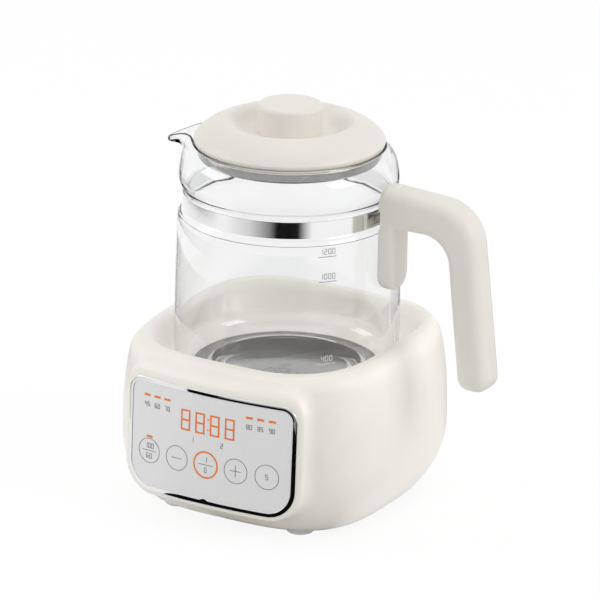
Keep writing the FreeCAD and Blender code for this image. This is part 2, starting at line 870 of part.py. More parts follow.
def spout_sections():
    """(reach, half width, top, bottom) of the beak from the neck to its tip."""
    tip = jug_radius + spout_out
    lip = mouth_z - spout_lip
    under = bulge_z + 0.31 * mouth_rise
    return [
        (tip - 2.2 * spout_out, 25.0, mouth_z - 0.6, bulge_z - 6.0),
        (tip - 1.45 * spout_out, 18.5, mouth_z - 0.9, bulge_z - 4.5),
        (tip - 0.9 * spout_out, 12.0, mouth_z - 3.4, bulge_z - 0.8),
        (tip - 0.54 * spout_out, 8.0, mouth_z - 6.4, under - 2.2),
        (tip - 0.2 * spout_out, 4.8, lip + 1.2, under),
        (tip, 3.4, lip, under - 0.4),
    ]


def spout_cut(rise):
    """The beak's hollow: its sections drawn in by the wall, up to a given height above them."""
    w = spout_wall
    sections = []
    for x, half, top, bottom in spout_sections():
        low = bottom + w if rise < 1 else top + 0.1
        far = x + (w if x > jug_radius + 0.9 * spout_out else 0.0)
        sections.append(spout_section(far, half - 0.75 * w, top + rise, low))
    return loft(sections)


def glass_jug():
    beak = loft([spout_section(*s) for s in spout_sections()])
    glass = jug_body().fuse(beak).cut(jug_hollow()).cut(spout_cut(0.2)).cut(spout_cut(9.0))
    return max(glass.Solids, key=lambda s: s.Volume)


def clamp_band():
    """Steel strap round the waist, its ends turned out into the handle."""
    inner = waist_radius + thread_gap
    outer = inner + band_thick
    strap = ring(outer, inner, band_low, band_high)
    strap = strap.cut(box(0, 2 * inner, -ear_gap / 2, ear_gap / 2, band_low - 1, band_high + 1))
    ears = []
    for s in (-1, 1):
        low, high = sorted((s * ear_gap / 2, s * (ear_gap / 2 + band_thick)))
        ears.append(box(inner - thread_gap, outer + ear_length, low, high, band_low, band_high))
    hollow = cylinder(inner, 2 * band_height, V(0, 0, band_low - band_height / 2))
    band = fuse([strap] + [e.cut(hollow) for e in ears])
    x, z = ear_screw_place()
    bore = cylinder(band_screw_radius + screw_gap, 4 * ear_gap, V(x, -2 * ear_gap, z), V(0, 1, 0))
    return band.cut(bore)


def ear_screw_place():
    return waist_radius + band_thick + 0.62 * ear_length, band_low + band_height / 2


def band_screw():
    """Cross screw through the handle's block and both ears, from the back."""
    x, z = ear_screw_place()
    length = 2 * pad_half_width - screw_head_depth - 2.0
    start = V(x, pad_half_width - screw_head_depth, z)
    shank = cylinder(band_screw_radius - thread_gap, length, start, V(0, -1, 0))
    head = cylinder(2 * band_screw_radius - fit_gap, 1.8, start, V(0, 1, 0))
    slot = box(x - 3, x + 3, start.y + 1.0, start.y + 2.0, z - 0.4, z + 0.4)
    return shank.fuse(head).cut(slot)


def band_screw_bore():
    x, z = ear_screw_place()
    start = V(x, pad_half_width - screw_head_depth, z)
    recess = cylinder(2 * band_screw_radius, 9, start, V(0, 1, 0))
    hole = cylinder(band_screw_radius, 2 * pad_half_width - screw_head_depth - 1.5, start, V(0, -1, 0))
    return recess.fuse(hole)


# Handle

def stadium(half_w, low, high, x0, x1):
    """Upright plate with round ends, from x0 to x1."""
    a, b = low + half_w, high - half_w
    edges = [line(V(x0, half_w, a), V(x0, half_w, b)),
             arc(V(x0, half_w, b), V(x0, 0, high), V(x0, -half_w, b)),
             line(V(x0, -half_w, b), V(x0, -half_w, a)),
             arc(V(x0, -half_w, a), V(x0, 0, low), V(x0, half_w, a))]
    return Part.Face(Part.Wire(edges)).extrude(V(x1 - x0, 0, 0))


def handle_outline():
    """Side view of the arm and the grip: a bar with one round bend."""
    start = pad_face - 6.0
    low = band_low + arm_below
    bend_x = jug_radius + grip_out
    top_start = low + arm_thick + 0.95
    top_end = top_start - arm_slope * (bend_x - start)
    end_z = top_end - grip_length
    tip = bend_x + grip_slope * grip_length
    inner_end = tip - grip_thick
    inner_bend = inner_end - 0.92 * grip_slope * (low - end_z)
    return rounded([(start, top_start, 0), (bend_x, top_end, bend_outer), (tip, end_z, grip_end_round),
                    (inner_end, end_z, grip_end_round), (inner_bend, low, bend_inner), (start, low, 0)])


def glass_clearance():
    """Space of the jug and its liner."""
    return cylinder(jug_radius + liner_thick + stand_gap, mouth_z, V(0, 0, 0))


def handle():
    wire = handle_outline()
    wire.translate(V(0, -pad_half_width, 0))
    bar = Part.Face(wire).extrude(V(0, 2 * pad_half_width, 0))
    start = bar.BoundBox.XMin
    edges = [e for e in bar.Edges if e.BoundBox.YLength < 0.1 and e.BoundBox.XMax > start + 0.1]
    bar = bar.makeFillet(grip_edge_round, edges)
    pad = stadium(pad_half_width, pad_low, pad_high, jug_radius - 8, pad_face)
    front = [e for e in pad.Edges if e.BoundBox.XMin > pad_face - 0.1]
    pad = pad.makeFillet(pad_round, front)
    whole = fuse([pad, bar]).cut(glass_clearance())
    reach = waist_radius + band_thick + ear_length + 0.6
    half = ear_gap / 2 + band_thick + fit_gap
    slot = box(waist_radius, reach, -half, half, band_low - 0.4, band_high + 0.4)
    whole = whole.cut(slot).cut(band_screw_bore())
    return max(whole.Solids, key=lambda s: s.Volume)


def handle_liner():
    """Soft liner between the handle and the glass, split for the band."""
    plate = stadium(pad_half_width - 0.4, pad_low + 0.4, pad_high - 0.4, jug_radius - 8, pad_face)
    shell = ring(jug_radius + liner_thick, jug_radius + 0.15, pad_low, pad_high)
    side = 2 * pad_half_width
    return plate.common(shell).cut(box(0, 2 * jug_radius, -side, side, band_low - 0.6, band_high + 0.6))


# Lid

def dome_curve():
    """Top of the lid from its edge in to the rim of the dish: a shallow, nearly straight slope."""
    edge = V(lid_radius, 0, lid_edge_z + lid_edge_height)
    shoulder = V(lid_radius - 1.6, 0, lid_edge_z + lid_edge_height + 2.4)
    rim = V(dish_radius + 1.2, 0, dish_rim_z)
    run = rim - shoulder
    bow = V(0.35, 0, 1) * dome_bow
    points = [edge, shoulder]
    for share in (0.25, 0.5, 0.75):
        points.append(shoulder + run * share + bow * (4 * share * (1 - share)))
    return points + [rim]


def lid_cap():
    top = dome_curve()
    edge = V(lid_radius - 0.5, 0, lid_edge_z)
    rim = top[-1]
    dish = V(dish_floor_radius, 0, dish_floor_z)
    halfway = dish_radius - 0.45 * dish_slope
    dish_wall = spline([rim, V(dish_radius - 1.2, 0, dish_rim_z - 0.9),
                        V(halfway, 0, dish_rim_z - 0.55 * dish_depth), dish])
    under_z = dish.z - lid_wall
    spigot = seal_radius - seal_width - fit_gap / 2
    inner = spigot - lid_wall
    low = lid_edge_z - seal_height
    corners = [dish, V(0, 0, dish.z), V(0, 0, under_z), V(dish_floor_radius - 0.5, 0, under_z),
               V(inner - 4.8, 0, under_z + 0.5), V(inner, 0, lid_edge_z + 1.0), V(inner, 0, low),
               V(spigot, 0, low), V(spigot, 0, lid_edge_z), edge, top[0]]
    runs = [line(a, b) for a, b in zip(corners, corners[1:])]
    cap = turned(runs + [spline(top), dish_wall])
    boss = cylinder(lid_boss, under_z - low + thread_gap, V(0, 0, low + thread_gap))
    cap = cap.fuse(boss)
    return cap.cut(cylinder(screw_radius + screw_gap, 40, V(0, 0, low - 8)))


def lid_knob():
    low = dish_floor_z + stand_gap / 5
    r, n, w, top = knob_radius, knob_round, knob_wall, knob_top
    t = n * (1 - math.sqrt(0.5))
    edges = [line(V(r, 0, low), V(r, 0, top - n)),
             arc(V(r, 0, top - n), V(r - t, 0, top - t), V(r - n, 0, top)),
             line(V(r - n, 0, top), V(0, 0, top)),
             line(V(0, 0, top), V(0, 0, top - w)), line(V(0, 0, top - w), V(r - w, 0, top - w)),
             line(V(r - w, 0, top - w), V(r - w, 0, low)), line(V(r - w, 0, low), V(r, 0, low))]
    boss = cylinder(lid_boss - 0.4, top - w - low, V(0, 0, low))
    return turned(edges).fuse(boss).cut(cylinder(screw_radius, knob_screw_grip + 2, V(0, 0, low)))


def lid_seal():
    """Soft ring with two lips in the mouth of the jug, and a rim under the lid's edge."""
    low = lid_edge_z - seal_height
    inner = seal_radius - seal_width
    r = seal_radius
    high = lid_edge_z - stand_gap
    return turned(profile([(inner, low), (r - 0.9, low), (r, low + 1.2), (r - 0.8, low + 2.0),
                           (r, high - 1.2), (r - 0.6, high), (inner, high)]))


def lid_plate():
    """Steel pan that closes the lid's underside."""
    high = lid_edge_z - seal_height - stand_gap
    low = high - skirt_height
    r = seal_radius - 0.7
    w = skirt_wall
    pan = turned(profile([(0, low + 1.0), (r - 6, low + 1.0), (r - 4, low), (r - 1, low), (r, low + 1),
                          (r, high), (r - 3, high), (r - 3, high - w), (r - w, high - w),
                          (r - w, low + 1 + w), (r - 1.4, low + w), (r - 3.6, low + w),
                          (r - 5.6, low + 1.0 + w), (0, low + 1.0 + w)]))
    return pan.cut(cylinder(screw_radius + screw_gap, 9, V(0, 0, low - 2)))


def lid_screw():
    low = lid_edge_z - seal_height - stand_gap - skirt_height + 1.0
    head = low - screw_head - thread_gap
    length = dish_floor_z + knob_screw_grip - head
    return screw(0, 0, head, True, length, screw_radius - thread_gap, 4.2)


PIECES = {
    "base_housing": base_housing,
    "bottom_cover": bottom_cover,
    "rubber_feet": rubber_feet,
    "cover_screws": cover_screws,
    "cord_gland": cord_gland,
    "hot_plate": hot_plate,
    "plate_gasket": plate_gasket,
    "heating_element": heating_element,
    "heater_terminals": heater_terminals,
    "heat_shield": heat_shield,
    "shield_screws": shield_screws,
    "sensor_sleeve": sensor_sleeve,
    "sensor_cap": sensor_cap,
    "sensor_spring": sensor_spring,
    "thermal_fuse": thermal_fuse,
    "panel_bezel": panel_bezel,
    "touch_panel": touch_panel,
    "display_board": display_board,
    "digit_display": digit_display,
    "touch_springs": touch_springs,
    "indicator_lamps": indicator_lamps,
    "board_screws": board_screws,
    "power_board": power_board,
    "power_board_screws": power_board_screws,
    "transformer": transformer,
    "relay": relay,
    "filter_capacitor": filter_capacitor,
    "buzzer": buzzer,
    "mains_terminals": mains_terminals,
    "glass_jug": glass_jug,
    "clamp_band": clamp_band,
    "band_screw": band_screw,
    "handle": handle,
    "handle_liner": handle_liner,
    "lid_cap": lid_cap,
    "lid_knob": lid_knob,
    "lid_seal": lid_seal,
    "lid_plate": lid_plate,
    "lid_screw": lid_screw,
}

shapes = {name: make() for name, make in PIECES.items()}
whole = FreeCAD.BoundBox()
for shape in shapes.values():
    whole.add(shape.optimalBoundingBox(False))
to_middle = V(-whole.Center.x, -whole.Center.y, 0)
print(f"moved by {to_middle.x:.3f}, {to_middle.y:.3f}")

os.makedirs("parts", exist_ok=True)
for name, shape in shapes.items():
    shape.translate(to_middle)
    shape.exportStep(os.path.join("parts", name + ".step"))
    print(f"{name}: {len(shape.Solids)} solids, {shape.Volume / 1000:.2f} cm3, valid {shape.isValid()}")
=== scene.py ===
import math

import bmesh
import bpy
import numpy as np
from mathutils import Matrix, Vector

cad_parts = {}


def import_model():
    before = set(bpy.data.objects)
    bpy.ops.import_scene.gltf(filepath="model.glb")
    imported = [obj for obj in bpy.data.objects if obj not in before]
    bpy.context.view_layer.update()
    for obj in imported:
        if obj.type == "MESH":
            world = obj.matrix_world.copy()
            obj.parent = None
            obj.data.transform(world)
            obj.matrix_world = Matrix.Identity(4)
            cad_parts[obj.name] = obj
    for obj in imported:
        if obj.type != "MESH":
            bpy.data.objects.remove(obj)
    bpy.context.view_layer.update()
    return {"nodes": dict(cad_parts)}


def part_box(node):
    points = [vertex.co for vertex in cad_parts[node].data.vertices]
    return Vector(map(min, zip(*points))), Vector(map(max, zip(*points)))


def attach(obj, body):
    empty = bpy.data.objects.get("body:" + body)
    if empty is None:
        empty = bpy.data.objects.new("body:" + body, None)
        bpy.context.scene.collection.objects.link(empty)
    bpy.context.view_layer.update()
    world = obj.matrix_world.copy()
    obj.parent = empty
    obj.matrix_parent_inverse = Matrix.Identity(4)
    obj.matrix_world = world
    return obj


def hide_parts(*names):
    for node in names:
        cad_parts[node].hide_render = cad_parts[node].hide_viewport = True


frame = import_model()
nodes = frame["nodes"]

# Shapes are written in millimetres from the axis of the jug, with the table at zero.
MM = 0.001
plate_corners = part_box("hot_plate")
AXIS_X = (plate_corners[0][0] + plate_corners[1][0]) / 2
AXIS_Y = (plate_corners[0][1] + plate_corners[1][1]) / 2


def span(node):
    """Lowest and highest corner of a CAD node in the scene's millimetres."""
    low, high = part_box(node)
    shift = Vector((AXIS_X, AXIS_Y, 0))
    return (Vector(low) - shift) / MM, (Vector(high) - shift) / MM


jug_low, jug_high = span("glass_jug")
base_low, base_high = span("base_housing")
band_low, band_high = span("clamp_band")
plate_low, plate_high = span("hot_plate")
bezel_low, bezel_high = span("panel_bezel")
seal_low, seal_high = span("lid_seal")

# Sizes of the base
BASE_HALF = base_high.x
BASE_TOP = base_high.z
BASE_FLOOR = base_low.z
WAIST_Z = 42.0
SQUARENESS = 3.3
LOWER_IN = 60.0
LOWER_UP = 57.6
LEAN_IN = 5.9
LEAN_POWER = 2.5
RIM_IN = 5.3
RIM_UP = 11.7
RIM_WIDTH = 2.2
SHELL_WALL = 2.6
WELL_GAP = 2.4
FRONT_DIP = 3.6
FRONT_DIP_TURN = math.radians(-108)
FRONT_DIP_START = 8.0
WELL_FLOOR = span("plate_gasket")[0].z
WELL_FOOT = plate_high.x + 1.6
WELL_HOLE = plate_high.x - 5.0
WELL_MOUTH = jug_high.x + WELL_GAP
CEILING_Z = BASE_TOP - 8.0
INNER_HEIGHTS = (BASE_TOP - 16.0, BASE_TOP - 30.0, WAIST_Z, 24.0, 14.0, BASE_FLOOR)

# Sizes of the panel, its width and height measured from the middle
PANEL_WIDTH = (bezel_high.x - bezel_low.x) / 2
PANEL_HEIGHT = 33.8
PANEL_TOP_CORNER = 9.0
PANEL_LOW_CORNER = 17.3
PANEL_LEAN = math.radians(2.3)
PANEL_BOW = 320.0
PANEL_FACE = BASE_HALF + 4.4
PANEL_Z = (bezel_low.z + bezel_high.z) / 2
BEZEL_WIDTH = 1.9
BEZEL_LAP = 2.6
BEZEL_DEPTH = 2.4
BEZEL_ROUND = 0.45
NOTCH_HEIGHT = 1.3
NOTCH_HALF = 2.6
NOTCH_LEFT = 0.5
PAD_BORDER = 3.2
PAD_RISE = 8.5
PAD_ROLL = PAD_RISE + 1.5
PAD_TOP_CORNER = PANEL_TOP_CORNER + PAD_BORDER + 8
PAD_SUNK = 0.8
PAD_EDGE = 2.4
PAD_BACK = -10.0
PAD_BLEND = 6.0
TOUCH_SUNK = 0.25

# Sizes of the jug
JUG_RADIUS = jug_high.x
FOOT_Z = jug_low.z
MOUTH_Z = jug_high.z
WAIST_RADIUS = band_high.y - 0.55
BULGE_RADIUS = JUG_RADIUS - 1.9
MOUTH_RADIUS = JUG_RADIUS - 9.4
SHOULDER_Z = band_low.z - 8.5
WAIST_LOW = band_low.z - 0.6
WAIST_HIGH = band_high.z + 2.2
BULGE_Z = WAIST_HIGH + 7.2
SPOUT_REACH = -jug_low.x
SPOUT_WIDE = math.radians(42)
SPOUT_NARROW = math.radians(10.5)
SPOUT_LIFT = 5.2
FOOT_CORNER = 11.5
FOOT_RING = JUG_RADIUS - 21.3
PUSH_UP = 1.5
GLASS_WALL = 2.2
GLASS_LIP = 1.5
GLASS_FLOOR = 3.9
LIP_CROWN = 0.75
LIP_FADE_LOW = MOUTH_Z - 1.6
LIP_FADE_HIGH = MOUTH_Z - 0.8
SIDE_STRAIGHT = 0.42
SIDE_TAPER = 1.2
FLOOR_POINTS = 4
HEAD_POINTS = 44
JUG_COLUMNS = 192

# Sizes of the hot plate and of the lid's ring
BEND_OUTER = plate_high.x - 10.6
BEND_INNER = plate_high.x - 17.6
BEND_WIDTH = 1.2
FLANGE_START = BEND_OUTER + 1.4
RIBS = 3
RING_DEPTH = 4.5

# Sizes of the marks on the panel and on the glass
MARKS_X = -1.0
MARK_ROOT = -0.05
MARK_LIFT = 0.06
THIN_LINE = 0.28
THIN_DIGIT = 0.26
KEY_PITCH = 19.6
KEY_Z = -9.9
KEY_RADIUS = 7.3
KEY_SIGN = 3.4
KEY_SIGN_UP = 3.6
KEY_DIVIDER = 4.8
KEY_RING_RADIUS = KEY_RADIUS + 0.4
KEY_RING_WIDTH = 0.9
KEY_LABEL = 2.8
KEY_LABEL_UP = 3.1
DIGIT_Z = 14.3
DIGIT_PITCH = 9.75
DIGIT_WIDTH = 5.3
DIGIT_HEIGHT = 11.5
DIGIT_STROKE = 0.95
COLON_SIZE = 0.9
COLON_UP = 3.1
DASH_Z = 23.5
DASH_PITCH = 7.1
DASHES_X = 34.3
DASH_LENGTH = 4.3
DASH_WIDTH = 1.25
KEY_DASH_UP = 8.6
LAMP_LABEL_Z = 18.0
LAMP_LABEL = 2.5
TOUCH_LABEL_Z = 3.4
TOUCH_LABEL = 2.7
VOLUME_TURN = math.radians(-39.5)
VOLUME_LIFT = 0.08
VOLUME_LINE = 11.0
VOLUME_LINE_WIDTH = 0.45
VOLUME_STROKE = 0.42
VOLUME_DIGIT = 1.5
VOLUME_DIGIT_UP = 1.6
VOLUME_PITCH = 2.5

# Distance in metres within which points of a mesh are joined
WELD = 0.000002

# Depths of a surface's grain in metres
MIRROR = 0.000001
BRUSHED = 0.000003
MOULDED = 0.000006
ROUGH = 0.00001


# Mesh code

def mesh_object(name, points, faces, material, body, flat=False):
    """Object from points in the scene's millimetres, riding on a CAD body."""
    mesh = bpy.data.meshes.new(name)
    places = [(x * MM + AXIS_X, y * MM + AXIS_Y, z * MM) for x, y, z in points]
    mesh.from_pydata(places, [], faces)
    mesh.validate()
    whole = bmesh.new()
    whole.from_mesh(mesh)
    bmesh.ops.remove_doubles(whole, verts=whole.verts, dist=WELD)
    bmesh.ops.recalc_face_normals(whole, faces=whole.faces)
    whole.to_mesh(mesh)
    whole.free()
    mesh.update()
    if not flat:
        mesh.polygons.foreach_set("use_smooth", [True] * len(mesh.polygons))
    mesh.materials.append(material)
    shape = bpy.data.objects.new(name, mesh)
    bpy.context.collection.objects.link(shape)
    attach(shape, body)
    return shape


def loops_mesh(loops, closed_rows=False, caps=False):
    """Points and faces of a skin over rows of points, each row a closed loop."""
    rows = len(loops)
    count = len(loops[0])
    points = [tuple(p) for row in loops for p in row]
    faces = []
    last = rows if closed_rows else rows - 1
    for i in range(last):
        a = i * count
        b = ((i + 1) % rows) * count
        for j in range(count):
            k = (j + 1) % count
            faces.append((a + j, a + k, b + k, b + j))
    if caps:
        faces.append(tuple(reversed(range(count))))
        faces.append(tuple((rows - 1) * count + j for j in range(count)))
    return points, faces


def eased(points, steps):
    """Smooth run through points, with steps between each two."""
    p = np.array(points, float)
    p = np.vstack([2 * p[0] - p[1], p, 2 * p[-1] - p[-2]])
    run = []
    for i in range(1, len(p) - 2):
        for t in np.arange(steps) / steps:
            run.append(0.5 * (2 * p[i] + (p[i + 1] - p[i - 1]) * t
                              + (2 * p[i - 1] - 5 * p[i] + 4 * p[i + 1] - p[i + 2]) * t ** 2
                              + (3 * p[i] - p[i - 1] - 3 * p[i + 1] + p[i + 2]) * t ** 3))
    run.append(p[-2])
    return np.array(run)


def corner_run(centre_r, centre_z, radius, start, end, steps):
    """Quarter-turn or other arc of a profile, angles in degrees from outward."""
    turns = np.radians(np.linspace(start, end, steps + 1))
    return [(centre_r + radius * math.cos(t), centre_z + radius * math.sin(t)) for t in turns]


def turned(profile, count=192):
    """Rows of a turned skin from (radius, height) pairs."""
    turns = np.linspace(0, 2 * np.pi, count, endpoint=False)
    return [np.stack([r * np.cos(turns), r * np.sin(turns), np.full(count, z)], 1) for r, z in profile]


# Materials

def new_material(name):
    """Empty material with its node tree and its surface node."""
    mat = bpy.data.materials.new(name)
    mat.use_nodes = True
    tree = mat.node_tree
    return mat, tree, tree.nodes["Principled BSDF"]


def noise(tree, scale, detail=3.0, roughness=0.5, stretch=(1, 1, 1)):
    """Noise in the object's own space."""
    coord = tree.nodes.new("ShaderNodeTexCoord")
    place = tree.nodes.new("ShaderNodeMapping")
    place.inputs["Scale"].default_value = stretch
    tree.links.new(coord.outputs["Object"], place.inputs["Vector"])
    tex = tree.nodes.new("ShaderNodeTexNoise")
    tex.inputs["Scale"].default_value = scale
    tex.inputs["Detail"].default_value = detail
    tex.inputs["Roughness"].default_value = roughness
    tree.links.new(place.outputs["Vector"], tex.inputs["Vector"])
    return tex.outputs["Fac"]


def ramp(tree, source, low, high, a, b):
    """Maps a value between low and high to a number or a colour."""
    if isinstance(a, (int, float)):
        node = tree.nodes.new("ShaderNodeMapRange")
        node.inputs["From Min"].default_value = low
        node.inputs["From Max"].default_value = high
        node.inputs["To Min"].default_value = a
        node.inputs["To Max"].default_value = b
        tree.links.new(source, node.inputs["Value"])
        return node.outputs["Result"]
    node = tree.nodes.new("ShaderNodeValToRGB")
    node.color_ramp.elements[0].position = low
    node.color_ramp.elements[1].position = high
    node.color_ramp.elements[0].color = (*a, 1)
    node.color_ramp.elements[1].color = (*b, 1)
    tree.links.new(source, node.inputs["Fac"])
    return node.outputs["Color"]


def maths(tree, operation, a, b=None):
    """One math node; inputs are sockets or numbers."""
    node = tree.nodes.new("ShaderNodeMath")
    node.operation = operation
    for i, value in enumerate((a, b)):
        if value is None:
            continue
        if isinstance(value, (int, float)):
            node.inputs[i].default_value = value
        else:
            tree.links.new(value, node.inputs[i])
    return node.outputs[0]


def bump(tree, bsdf, source, distance):
    """Relief of a surface, in metres."""
    node = tree.nodes.new("ShaderNodeBump")
    node.inputs["Strength"].default_value = 1.0
    node.inputs["Distance"].default_value = distance
    tree.links.new(source, node.inputs["Height"])
    tree.links.new(node.outputs["Normal"], bsdf.inputs["Normal"])


def mixed(tree, share, first, second):
    """Shader that goes from the first to the second as the share grows."""
    mix = tree.nodes.new("ShaderNodeMixShader")
    tree.links.new(share, mix.inputs["Fac"])
    tree.links.new(first, mix.inputs[1])
    tree.links.new(second, mix.inputs[2])
    return mix.outputs["Shader"]


def show(tree, shader):
    """Gives the material this shader as its surface."""
    tree.links.new(shader, tree.nodes["Material Output"].inputs["Surface"])


def glowing(tree, strength):
    """White light of a strength, a number or a socket."""
    node = tree.nodes.new("ShaderNodeEmission")
    if isinstance(strength, (int, float)):
        node.inputs["Strength"].default_value = strength
    else:
        tree.links.new(strength, node.inputs["Strength"])
    return node.outputs["Emission"]


def see_through(tree, tint):
    """Straight view through the surface, in a tint of grey."""
    node = tree.nodes.new("ShaderNodeBsdfTransparent")
    node.inputs["Color"].default_value = (tint, tint, tint, 1)
    return node.outputs["BSDF"]


def set_values(mat, **values):
    """Sets unlinked values of a material's surface, their names written with underscores."""
    bsdf = mat.node_tree.nodes["Principled BSDF"]
    for name, value in values.items():
        bsdf.inputs[name.replace("_", " ")].default_value = value


def varied(name, color, rough, spread=0.03, mottle=0.012, grain=900, depth=ROUGH,
           metallic=0.0, stretch=(1, 1, 1)):
    """Material with faint mottling, uneven gloss and a moulded or brushed grain."""
    mat, tree, bsdf = new_material(name)
    broad = noise(tree, 28, 4)
    dark = tuple(c * (1 - mottle) for c in color)
    light = tuple(min(1, c * (1 + mottle)) for c in color)
    tree.links.new(ramp(tree, broad, 0.35, 0.65, dark, light), bsdf.inputs["Base Color"])
    fine = noise(tree, grain, 2, 0.6, stretch)
    tree.links.new(ramp(tree, fine, 0.3, 0.7, rough - spread, rough + spread), bsdf.inputs["Roughness"])
    bump(tree, bsdf, fine, depth)
    bsdf.inputs["Metallic"].default_value = metallic
    return mat


def seen_ray(tree):
    """1 for camera, mirror and glass rays, else 0."""
    path = tree.nodes.new("ShaderNodeLightPath")
    direct = maths(tree, "MAXIMUM", path.outputs["Is Camera Ray"], path.outputs["Is Glossy Ray"])
    return maths(tree, "MAXIMUM", direct, path.outputs["Is Transmission Ray"])


def glass_material():
    """Clear glass: light passes for shadows, the lip hardly shows, lost rays end bright."""
    longest_path, lost_glow = 15.5, 0.75
    mat, tree, bsdf = new_material("clear_glass")
    set_values(mat, Base_Color=(0.953, 0.956, 0.956, 1), Transmission_Weight=1.0, IOR=1.47)
    tree.links.new(ramp(tree, noise(tree, 60, 3), 0.4, 0.7, 0.0, 0.01), bsdf.inputs["Roughness"])
    path = tree.nodes.new("ShaderNodeLightPath")
    through = maths(tree, "MAXIMUM", path.outputs["Is Shadow Ray"], path.outputs["Is Diffuse Ray"])
    coord = tree.nodes.new("ShaderNodeTexCoord")
    parts = tree.nodes.new("ShaderNodeSeparateXYZ")
    tree.links.new(coord.outputs["Object"], parts.inputs["Vector"])
    lip = ramp(tree, parts.outputs["Z"], LIP_FADE_LOW * MM, LIP_FADE_HIGH * MM, 0.0, 0.6)
    clear = maths(tree, "MAXIMUM", through, lip)
    lost = maths(tree, "GREATER_THAN", path.outputs["Ray Depth"], longest_path)
    glass_shader = mixed(tree, clear, bsdf.outputs["BSDF"], see_through(tree, 0.97))
    show(tree, mixed(tree, lost, glass_shader, glowing(tree, lost_glow)))
    return mat


def perforated_material():
    """Steel with many small dark holes, for the top of the sensor."""
    mat, tree, bsdf = new_material("sensor_steel")
    coord = tree.nodes.new("ShaderNodeTexCoord")
    cells = tree.nodes.new("ShaderNodeTexVoronoi")
    cells.inputs["Scale"].default_value = 420
    tree.links.new(coord.outputs["Object"], cells.inputs["Vector"])
    holes = ramp(tree, cells.outputs["Distance"], 0.28, 0.4, (0.004, 0.004, 0.004), (0.3, 0.3, 0.3))
    tree.links.new(holes, bsdf.inputs["Base Color"])
    bsdf.inputs["Metallic"].default_value = 1.0
    tree.links.new(ramp(tree, noise(tree, 300), 0.3, 0.7, 0.2, 0.34), bsdf.inputs["Roughness"])
    return mat


def polished(name, color, rough, spread=0.04, mottle=0.03, grain=900, depth=BRUSHED, stretch=(1, 1, 1)):
    """Bare metal."""
    return varied(name, color, rough, spread, mottle, grain, depth, 1.0, stretch)


def ink(name, color):
    """Printed colour with hardly any relief."""
    return varied(name, color, 0.4, depth=MIRROR)


cream = varied("cream_plastic", (0.86, 0.822, 0.765), 0.4, grain=1400, depth=MOULDED)
grey_plastic = varied("grey_plastic", (0.62, 0.60, 0.57), 0.5, grain=700)
pale_rubber = varied("pale_rubber", (0.90, 0.88, 0.84), 0.7, grain=600)
silicone = varied("silicone", (0.86, 0.82, 0.75), 0.5, grain=500)
black_rubber = varied("black_rubber", (0.02, 0.02, 0.02), 0.6)
plate_steel = polished("plate_steel", (0.34, 0.34, 0.34), 0.2)
dark_steel = polished("dark_steel", (0.05, 0.05, 0.05), 0.25, 0.05, 0.05)
skirt_steel = polished("skirt_steel", (0.3, 0.3, 0.3), 0.16, grain=700)
band_steel = polished("band_steel", (0.88, 0.88, 0.88), 0.09, 0.02, 0.02, stretch=(1, 1, 9))
screw_metal = polished("screw_metal", (0.52, 0.52, 0.53), 0.32, 0.06, 0.05, 500, ROUGH)
chrome = polished("chrome", (0.80, 0.80, 0.81), 0.05, 0.02, 0.01, 400, MIRROR)
alloy = polished("alloy", (0.62, 0.62, 0.63), 0.38, 0.06, 0.04, 300, ROUGH)
# Non-metallic white for the plate's two bends: a painted highlight that stands in for the shine of polished
# steel.
painted_highlight_bend = varied("painted_highlight_bend", (0.96, 0.96, 0.96), 0.3, 0.04, 0.01, depth=MIRROR)
panel_plastic = varied("panel_plastic", (0.76, 0.76, 0.76), 0.3, 0.02, 0.006, 1500, MIRROR)
board_green = varied("board_green", (0.02, 0.14, 0.05), 0.4)
black_part = varied("black_part", (0.02, 0.02, 0.02), 0.35)
grey_ink = ink("grey_ink", (0.16, 0.16, 0.165))
faint_ink = ink("faint_ink", (0.36, 0.36, 0.37))
white_ink = ink("white_ink", (0.72, 0.72, 0.72))
orange_ink = varied("orange_ink", (0.56, 0.14, 0.015), 0.35, depth=MIRROR)
set_values(orange_ink, Emission_Color=(1.0, 0.24, 0.02, 1), Emission_Strength=0.28)
sensor_steel = perforated_material()
glass = glass_material()

LOOKS = {
    "base_housing": cream, "bottom_cover": grey_plastic, "rubber_feet": pale_rubber,
    "cover_screws": screw_metal, "cord_gland": pale_rubber, "hot_plate": plate_steel,
    "plate_gasket": black_rubber, "heating_element": alloy, "heater_terminals": screw_metal,
    "heat_shield": alloy, "shield_screws": screw_metal, "sensor_sleeve": grey_plastic,
    "sensor_cap": sensor_steel, "sensor_spring": screw_metal, "thermal_fuse": screw_metal,
    "panel_bezel": chrome, "touch_panel": panel_plastic, "display_board": board_green,
    "digit_display": black_part, "touch_springs": screw_metal, "indicator_lamps": black_part,
    "board_screws": screw_metal, "power_board": board_green, "power_board_screws": screw_metal,
    "transformer": black_part, "relay": black_part, "filter_capacitor": alloy,
    "buzzer": black_part, "mains_terminals": board_green, "glass_jug": glass,
    "clamp_band": band_steel, "band_screw": screw_metal, "handle": cream, "handle_liner": silicone,
    "lid_cap": cream, "lid_knob": cream, "lid_seal": silicone, "lid_plate": skirt_steel,
    "lid_screw": screw_metal,
}
for name, mat in LOOKS.items():
    node = nodes[name]
    node.data.materials.clear()
    node.data.materials.append(mat)


# Power base

def side_inset(z):
    """How far the side of the base stands in from its widest outline."""
    if z < WAIST_Z:
        down = (WAIST_Z - z) / LOWER_UP
        return LOWER_IN * (1 - math.sqrt(1 - down * down))
    up = (z - WAIST_Z) / (BASE_TOP - WAIST_Z)
    crest = max(0.0, (z - (BASE_TOP - RIM_UP)) / RIM_UP)
    return LEAN_IN * up ** LEAN_POWER + RIM_IN * (1 - math.sqrt(max(0.0, 1 - crest * crest)))


def square_reach(turns, half, power):
    """Radius of a rounded square of a half width at each turn."""
    c = np.abs(np.cos(turns)) ** power
    s = np.abs(np.sin(turns)) ** power
    return half / (c + s) ** (1 / power)


